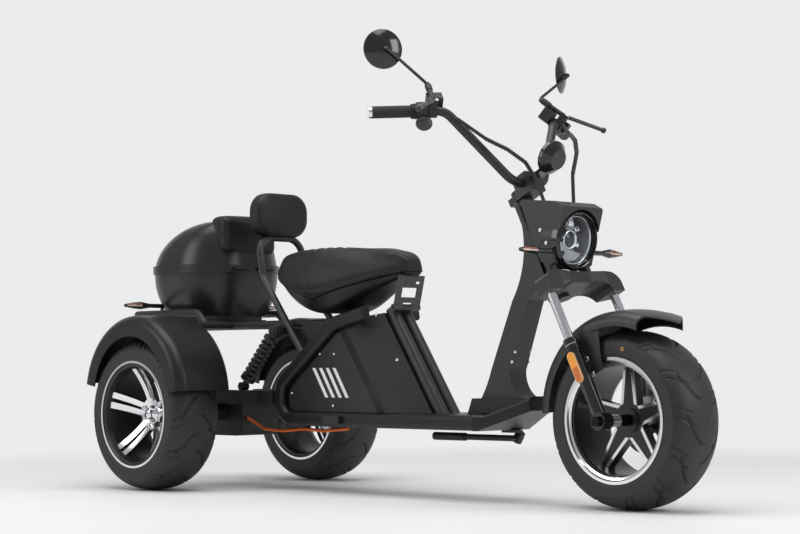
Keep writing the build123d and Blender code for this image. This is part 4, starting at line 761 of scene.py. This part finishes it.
def pad_piece(name, node, body, drawn_in, cap, back, sewn):
    """The node's shape, drawn in and swollen by pressure. Points that face back stay where they are."""
    mesh = nodes[node].data.copy()
    piece = bpy.data.objects.new(name, mesh)
    bpy.context.scene.collection.objects.link(piece)
    remesh = piece.modifiers.new("remesh", "REMESH")
    remesh.mode = "VOXEL"
    remesh.voxel_size = PAD_VOXEL
    piece.data = evaluated(piece)
    piece.modifiers.clear()
    piece.data.name = name
    normals = np.array([v.normal for v in piece.data.vertices])
    held = normals @ np.array(back) > HELD_FACING
    start = points_of(piece.data) - normals * np.where(held, HELD_IN, drawn_in)[:, None]
    piece.data.vertices.foreach_set("co", start.ravel())
    pins = piece.vertex_groups.new(name="pins")
    pins.add([int(i) for i in np.flatnonzero(held)], 1.0, "ADD")
    cloth = piece.modifiers.new("swell", "CLOTH")
    cloth.settings.use_pressure = True
    cloth.settings.uniform_pressure_force = PAD_PRESSURE
    cloth.settings.effector_weights.gravity = 0.0
    cloth.settings.vertex_group_mass = "pins"
    cloth.point_cache.frame_start = 1
    cloth.point_cache.frame_end = SWELL_FRAMES
    for step in range(1, SWELL_FRAMES + 1):
        bpy.context.scene.frame_set(step)
    moved = calmed(points_of(evaluated(piece)) - start, piece.data)
    piece.modifiers.clear()
    piece.vertex_groups.clear()
    bpy.context.scene.frame_set(1)
    reach = np.linalg.norm(moved, axis=1)
    start = start + moved * np.minimum(1.0, cap / np.maximum(reach, 1e-9))[:, None]
    start = start - normals * sewn(start, normals)[:, None]
    piece.data.vertices.foreach_set("co", start.ravel())
    piece.data.materials.clear()
    piece.data.materials.append(HIDE)
    for face in piece.data.polygons:
        face.use_smooth = True
    smooth = piece.modifiers.new("smooth", "SUBSURF")
    smooth.levels = 1
    smooth.render_levels = 1
    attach(piece, body)
    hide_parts(node)


def groove(away, width, depth):
    """Soft channel where the distance is small."""
    return depth * np.exp(-(away / width) ** 2)


def seat_sewing(at, normals):
    """A seam down each side and a quilted patch on top."""
    low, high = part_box("seat_cushion")
    upper = cast(*pixel_ray(*SEAM_TOP), ["seat_cushion"])[1]
    lower = cast(*pixel_ray(*SEAM_FOOT), ["seat_cushion"])[1]
    share = (at[:, 2] - lower.z) / (upper.z - lower.z)
    line = lower.x + (upper.x - lower.x) * share
    side = np.clip((0.75 - np.abs(normals[:, 2])) * 4.0, 0.0, 1.0)
    seam = groove(at[:, 0] - line, SEAM_W, SEAM_DEPTH) * side
    u = (at[:, 0] - low.x) / (high.x - low.x)
    on_top = np.clip((normals[:, 2] - 0.55) * 5.0, 0.0, 1.0)
    inside = np.clip((u - QUILT_BACK) * 40.0, 0.0, 1.0) * np.clip((QUILT_FRONT - u) * 40.0, 0.0, 1.0)
    inside = inside * np.clip((QUILT_HALF - np.abs(at[:, 1])) * 160.0, 0.0, 1.0)
    lanes = [(at[:, 0] + way * at[:, 1]) % QUILT_PITCH - QUILT_PITCH / 2 for way in (-1, 1)]
    quilt = np.maximum(*[groove(lane, QUILT_W, QUILT_DEPTH) for lane in lanes])
    return seam + quilt * inside * on_top


def plain_sewing(at, normals):
    """One seam round the edge of a small pad."""
    middle_x = (at[:, 0].max() + at[:, 0].min()) / 2
    return groove(at[:, 0] - middle_x, EDGE_SEAM_W, EDGE_SEAM_DEPTH) * (np.abs(normals[:, 0]) < 0.7)


pad_piece("seat_padded", "seat_cushion", "seat", 0.005, 0.010, (0, 0, -1), seat_sewing)
pad_piece("backrest_padded", "backrest_pad", "frame", 0.004, 0.006, (-1, 0, 0), plain_sewing)
pad_piece("lid_pad_padded", "lid_pad", "top_box_lid", 0.004, 0.006, (-1, 0, 0), plain_sewing)


# Headlamp: outlines (radius, height) about the lamp's axis
REFLECTOR = [(0.0, -0.0262), (0.030, -0.0258), (0.046, -0.019), (0.057, -0.009), (0.0635, 0.001),
             (0.0640, 0.001), (0.058, -0.011), (0.047, -0.0212), (0.030, -0.0272), (0.0, -0.0272)]
CUP = [(0.0, -0.0185), (0.0056, -0.0180), (0.0062, -0.0130), (0.0085, -0.0130), (0.0088, -0.0260),
       (0.0, -0.0260)]
PROJECTOR = [(0.0270, -0.0262), (0.0270, -0.0080), (0.0255, -0.0052), (0.0228, -0.0060), (0.0205, -0.0120),
             (0.0205, -0.0262), (0.0270, -0.0262)]
DOME = [(0.0, -0.0200), (0.0212, -0.0200), (0.0212, -0.0185), (0.0175, -0.0125), (0.0105, -0.0090),
        (0.0, -0.0080)]
TRIM_RING = [(0.0668, -0.0010), (0.0668, 0.0100), (0.0642, 0.0100), (0.0642, -0.0010), (0.0668, -0.0010)]
DOT = [(0.0, -0.0044), (0.0075, -0.0044), (0.0090, -0.0060), (0.0, -0.0060)]

# Right and up from the lamp's middle: cups on the reflector, and the dark dot on the lower chamber
CUPS = [(0.006, 0.043), (0.034, 0.029), (-0.040, 0.009), (0.037, -0.013)]
DOT_AT = (-0.028, -0.038, 0.0)

# Lower chamber: radii of its inner and outer edge, height and thickness
CHAMBER_IN_R = 0.0285
CHAMBER_OUT_R = 0.0605
CHAMBER_LOW = -0.011
CHAMBER_T = 0.006


def chamber(bm, place):
    """Plate over the lower part of the lamp, with a slanting upper edge."""
    inner = [(CHAMBER_IN_R, radians(a)) for a in (250.0, 232.0, 214.0, 197.0)]
    outer = [(CHAMBER_OUT_R, radians(186.0 + 136.0 * i / 20)) for i in range(21)]
    points = [bm.verts.new((r * cos(a), r * sin(a), CHAMBER_LOW)) for r, a in inner + outer]
    grown = bmesh.ops.extrude_face_region(bm, geom=[bm.faces.new(points)])
    fresh = [g for g in grown["geom"] if isinstance(g, bmesh.types.BMVert)]
    bmesh.ops.translate(bm, verts=fresh, vec=(0, 0, CHAMBER_T))
    bmesh.ops.transform(bm, matrix=place, verts=points + fresh)


def lamp_inside():
    """Reflector with cups, projector with its dome, trim ring and the pale lower chamber."""
    place = facing(LAMP_AT, LAMP_OUT)
    bm = bmesh.new()
    spun(bm, REFLECTOR, 56, place)
    for x, y in CUPS:
        spun(bm, CUP, 20, place @ Matrix.Translation((x, y, 0.0)), 1)
    new_piece("lamp_reflector", bm, "steering", [DARK_CHROME, CHROME])
    bm = bmesh.new()
    spun(bm, PROJECTOR, 48, place)
    spun(bm, DOME, 36, place, 1)
    spun(bm, TRIM_RING, 64, place)
    new_piece("lamp_projector", bm, "steering", [CHROME, GLOSS])
    bm = bmesh.new()
    chamber(bm, place)
    spun(bm, DOT, 24, place @ Matrix.Translation(DOT_AT), 1)
    new_piece("lamp_lower_chamber", bm, "steering", [PALE, GLOSS], smooth=False)


lamp_inside()


# Rear wheels: outlines (radius, height) and places of the nuts, hub cap and valve
NUT = [(0.0, 0.0110), (0.0040, 0.0110), (0.0062, 0.0085), (0.0064, 0.0040), (0.0090, 0.0040),
       (0.0090, -0.0030), (0.0, -0.0030)]
NUTS = 4
NUT_CIRCLE_R = 0.041
FIRST_NUT_DEG = 65.0
HUB_CAP = [(0.0, 0.0240), (0.0120, 0.0232), (0.0172, 0.0190), (0.0185, 0.0030), (0.0270, 0.0018),
           (0.0278, -0.0010), (0.0, -0.0010)]
VALVE = [(0.0, -0.0020), (0.0052, -0.0020), (0.0052, 0.0080), (0.0036, 0.0100), (0.0036, 0.0240),
         (0.0044, 0.0246), (0.0044, 0.0320), (0.0, 0.0326)]
VALVE_ANGLE = radians(47.0)
VALVE_OUT = 0.028
VALVE_LEAN = 0.35
RAY_START = 0.3         # how far outside the hub a ray to its face starts


def rear_hub(side, hub, out, node):
    """Nuts and cap seated on the rim's face, and a valve on its barrel."""
    bm = bmesh.new()
    for i in range(NUTS):
        a = radians(FIRST_NUT_DEG + 360.0 / NUTS * i)
        at = hub + NUT_CIRCLE_R * Vector((cos(a), 0.0, sin(a)))
        seat = cast(at + RAY_START * out, -out, [node])[1]
        spun(bm, NUT, 6, facing(seat, out))
    seat = cast(hub + RAY_START * out, -out, [node])[1]
    spun(bm, HUB_CAP, 36, facing(seat, out))
    new_piece(side + "_hub_cap", bm, "rear_wheel_" + side, [CHROME])
    bm = bmesh.new()
    way = Vector((cos(VALVE_ANGLE), 0.0, sin(VALVE_ANGLE)))
    foot = hub + way * BARREL_R + VALVE_OUT * out
    spun(bm, VALVE, 16, facing(foot, (VALVE_LEAN * out - way).normalized()))
    new_piece(side + "_valve", bm, "rear_wheel_" + side, [BRASS])


rear_hub("right", RIGHT_HUB, Vector((0, -1, 0)), "rear_rim_right")
rear_hub("left", LEFT_HUB, Vector((0, 1, 0)), "rear_rim_left")


# Screws and bolts on both sides (picture point across and down, head radius, node that carries them)
SCREWS = [
    (376, 315, 0.0045, "battery_body"),
    (397, 360, 0.0045, "battery_body"),
    (292, 393, 0.0045, "battery_body"),
    (320, 354, 0.0040, "battery_body"),
    (334, 354, 0.0040, "battery_body"),
    (333, 406, 0.0045, "battery_body"),
    (540, 230, 0.0055, "nacelle"),
    (546, 243, 0.0055, "nacelle"),
    (515, 352, 0.0045, "neck_column"),
    (512, 362, 0.0045, "neck_column"),
    (587, 359, 0.0065, "front_fender"),
    (593, 374, 0.0065, "front_fender"),
    (437, 100, 0.0050, "master_cylinders"),
]


def screw_head(r):
    """Outline (radius, height) of a round head with a sunk middle."""
    return [(0.0, 0.0008), (0.42 * r, 0.0008), (0.46 * r, 0.0024), (0.75 * r, 0.0022), (r, 0.0012),
            (r, -0.0010), (0.0, -0.0010)]


def screws():
    heads = {}
    for u, v, r, node in SCREWS:
        _, seat, normal = cast(*pixel_ray(u, v), [node])
        body = body_of(nodes[node])[0]
        if body not in heads:
            heads[body] = bmesh.new()
        for side in (1, -1):
            at = Vector((seat.x, side * seat.y, seat.z))
            out = Vector((normal.x, side * normal.y, normal.z))
            spun(heads[body], screw_head(r), 18, facing(at, out))
    for body, bm in heads.items():
        new_piece(body + "_screws", bm, body, [CHROME])


screws()


# Cables: turns of the spiral wrap, set along the middle line of each cable
WRAP_PITCH = 0.0075
WRAP_HALF = 0.0024
WRAP_LOW_R = 0.0046
WRAP_HIGH_R = 0.0066
WRAP_LEAN = 0.25
END_REACH = 0.0125      # a little more than the width of a tube's end


def middle_lines(node):
    """Ring centres along each tube of a node, found by stepping over the mesh from its lowest end."""
    bm = bmesh.new()
    bm.from_mesh(nodes[node].data)
    bmesh.ops.remove_doubles(bm, verts=bm.verts, dist=1e-5)
    left = set(bm.verts)
    lines = []
    while left:
        lowest = min(left, key=lambda v: (v.co.z, v.co.y, v.co.x)).co
        ring = {v for v in left if (v.co - lowest).length < END_REACH}
        tube = set()
        centres = []
        while ring:
            tube |= ring
            centres.append(sum((v.co for v in ring), Vector()) / len(ring))
            ring = {e.other_vert(v) for v in ring for e in v.link_edges} - tube
        left -= tube
        lines.append(centres)
    bm.free()
    return lines


def wrap_turns():
    turn = [(WRAP_LOW_R, -WRAP_HALF), (WRAP_HIGH_R, -0.5 * WRAP_HALF), (WRAP_HIGH_R, 0.5 * WRAP_HALF),
            (WRAP_LOW_R, WRAP_HALF), (WRAP_LOW_R, -WRAP_HALF)]
    bm = bmesh.new()
    for centres in middle_lines("cable_wraps"):
        carry = WRAP_PITCH
        for a, b in zip(centres[1:-1], centres[2:-1]):
            long = (b - a).length
            way = (b - a).normalized()
            while carry < long:
                lean = (way + WRAP_LEAN * way.orthogonal().normalized()).normalized()
                spun(bm, turn, 12, facing(a + way * carry, lean))
                carry += WRAP_PITCH
            carry -= long
    new_piece("cable_wrap_turns", bm, "steering", [COIL])


wrap_turns()


# Mirrors: a rubber boot over the foot of each stem, as an outline (radius, height)
BOOT = [(0.0035, -0.006), (0.0078, -0.006), (0.0092, -0.002), (0.0098, 0.004), (0.0098, 0.022),
        (0.0074, 0.033), (0.0035, 0.034), (0.0035, -0.006)]


def mirror_boots():
    bm = bmesh.new()
    for foot, knee, *_ in middle_lines("mirrors"):
        spun(bm, BOOT, 24, facing(foot, (knee - foot).normalized()))
    new_piece("mirror_boots", bm, "steering", [MATT])


mirror_boots()


# Switches: a rounded thumb paddle under the right housing
PADDLE_PIXEL = (427, 111)
PADDLE_HALVES = (0.009, 0.021, 0.024)
PADDLE_BACK = 0.012
PADDLE_DROP = 0.014


def thumb_paddle():
    front = cast(*pixel_ray(*PADDLE_PIXEL), ["switchgear"])[1]
    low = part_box("switchgear")[0]
    at = Vector((front.x - PADDLE_BACK, front.y, low.z - PADDLE_DROP))
    bm = bmesh.new()
    bmesh.ops.create_uvsphere(bm, u_segments=28, v_segments=16, radius=1.0)
    bmesh.ops.scale(bm, vec=PADDLE_HALVES, verts=bm.verts)
    bmesh.ops.transform(bm, matrix=facing(at, GRIP_AXIS), verts=bm.verts)
    new_piece("thumb_paddle", bm, "steering", [SLATE])


thumb_paddle()


# Fork: two bright seal rings near the top of each lower leg
SEAL_DROPS = (0.010, 0.019)
SEAL_H = 0.003
SEAL_OUT = 0.0008
SEAL_IN = 0.001
SEAL_ROUND = 0.0004
RIM_REACH = 0.003       # points this near a leg's top belong to its rim


def seal_rings():
    bm = bmesh.new()
    up = np.array(STEER_UP)
    at = points_of(nodes["fork_lowers"].data)
    for side in (-1, 1):
        leg = at[at[:, 1] * side > 0]
        run = leg @ up
        rim = leg[run > run.max() - RIM_REACH]
        centre = Vector((rim.max(0) + rim.min(0)) / 2)
        off = rim - np.array(centre)
        reach = np.linalg.norm(off - np.outer(off @ up, up), axis=1).max()
        inner = reach - SEAL_IN
        outer = reach + SEAL_OUT
        ring = [(inner, 0.0), (outer, SEAL_ROUND), (outer, SEAL_H - SEAL_ROUND), (inner, SEAL_H),
                (inner, 0.0)]
        for down in SEAL_DROPS:
            spun(bm, ring, 40, facing(centre - down * STEER_UP, STEER_UP))
    new_piece("fork_seal_rings", bm, "steering", [CHROME])


seal_rings()


# Stage: pale floor that turns up into a backdrop on the far side from the camera
FLOOR_FRONT = 22.0
FLOOR_BACK = 20.0
STAGE_SIDE = 26.0
STAGE_BEND = 4.0
STAGE_TOP = 18.0
BEND_STEPS = 12
STAGE_TURN = radians(-43.5)
BACKDROP_GLOW = (0.83, 0.835, 0.845)
GLOW_FROM = 1.5
GLOW_FULL = 3.6


def sweep_stage():
    mesh = bpy.data.meshes.new("backdrop")
    piece = bpy.data.objects.new("backdrop", mesh)
    bpy.context.scene.collection.objects.link(piece)
    bm = bmesh.new()
    profile = [(FLOOR_FRONT, 0.0), (-FLOOR_BACK, 0.0)]
    for i in range(1, BEND_STEPS + 1):
        a = pi / 2 * i / BEND_STEPS
        profile.append((-FLOOR_BACK - STAGE_BEND * sin(a), STAGE_BEND - STAGE_BEND * cos(a)))
    profile.append((-FLOOR_BACK - STAGE_BEND, STAGE_TOP))
    points = [bm.verts.new((u, -STAGE_SIDE, h)) for u, h in profile]
    edges = [bm.edges.new(pair) for pair in zip(points, points[1:])]
    grown = bmesh.ops.extrude_edge_only(bm, edges=edges)["geom"]
    far = [g for g in grown if isinstance(g, bmesh.types.BMVert)]
    bmesh.ops.translate(bm, verts=far, vec=(0, 2 * STAGE_SIDE, 0))
    bmesh.ops.rotate(bm, verts=bm.verts, cent=(0, 0, 0), matrix=Matrix.Rotation(STAGE_TURN, 3, "Z"))
    bmesh.ops.recalc_face_normals(bm, faces=bm.faces)
    bm.to_mesh(mesh)
    bm.free()
    for face in mesh.polygons:
        face.use_smooth = True
    mesh.materials.append(floor_finish())


def floor_finish():
    """Pale floor round the scooter, and an even glow for what is seen further off."""
    skin = Finish("studio_floor", (0.82, 0.82, 0.81), 0.6)
    cloud = skin.noise(1.6)
    skin.set("Base Color", cloud.mix(colour((0.82, 0.82, 0.81)), colour((0.87, 0.87, 0.86))))
    away = skin.hand.math("SQRT", skin.x * skin.x + skin.y * skin.y)
    seen = seen_by(skin.hand, ("Is Camera Ray", "Is Glossy Ray", "Is Transmission Ray"))
    glow = skin.hand.node("ShaderNodeEmission", {"Color": colour(BACKDROP_GLOW)})
    lit = Sock(skin.hand.tree, skin.shader.outputs[0])
    blended(skin.hand, seen * away.step(GLOW_FROM, GLOW_FULL), lit, glow)
    return skin.material


def area_light(name, place, target, size, power):
    data = bpy.data.lights.new(name, "AREA")
    data.shape = "RECTANGLE"
    data.size, data.size_y = size
    data.energy = power
    lamp = bpy.data.objects.new(name, data)
    lamp.location = place
    lamp.rotation_euler = (Vector(target) - Vector(place)).to_track_quat("-Z", "Y").to_euler()
    bpy.context.scene.collection.objects.link(lamp)


def studio():
    sweep_stage()
    area_light("top_box", (0.2, -0.6, 4.2), (0.0, 0.0, 0.4), (4.5, 3.0), 130.0)
    area_light("left_box", (-2.2, -4.2, 2.4), (-0.2, 0.0, 0.5), (2.4, 2.4), 52.0)
    area_light("right_box", (4.6, 1.6, 2.6), (0.4, 0.0, 0.6), (1.8, 2.6), 70.0)
    world = bpy.data.worlds.new("studio_world")
    bpy.context.scene.world = world
    world.use_nodes = True
    hand = Sock(world.node_tree, None)
    sky = world.node_tree.nodes["Background"]
    sky.inputs["Color"].default_value = colour((0.89, 0.90, 0.92))
    sky.inputs["Strength"].default_value = 0.42
    pale = hand.node("ShaderNodeBackground", {"Color": colour(BACKDROP_GLOW)})
    seen = seen_by(hand, ("Is Camera Ray", "Is Transmission Ray"))
    blended(hand, seen, Sock(hand.tree, sky.outputs[0]), pale)
    bpy.context.scene.view_settings.view_transform = "Standard"


def camera():
    data = bpy.data.cameras.new("photo_camera")
    data.sensor_width = SENSOR_MM
    data.lens = LENS_MM
    data.clip_end = 60.0
    shot = bpy.data.objects.new("photo_camera", data)
    bpy.context.scene.collection.objects.link(shot)
    shot.matrix_world = Matrix.Translation(CAMERA_AT) @ CAMERA_ROWS.to_4x4()
    bpy.context.scene.camera = shot


studio()
camera()
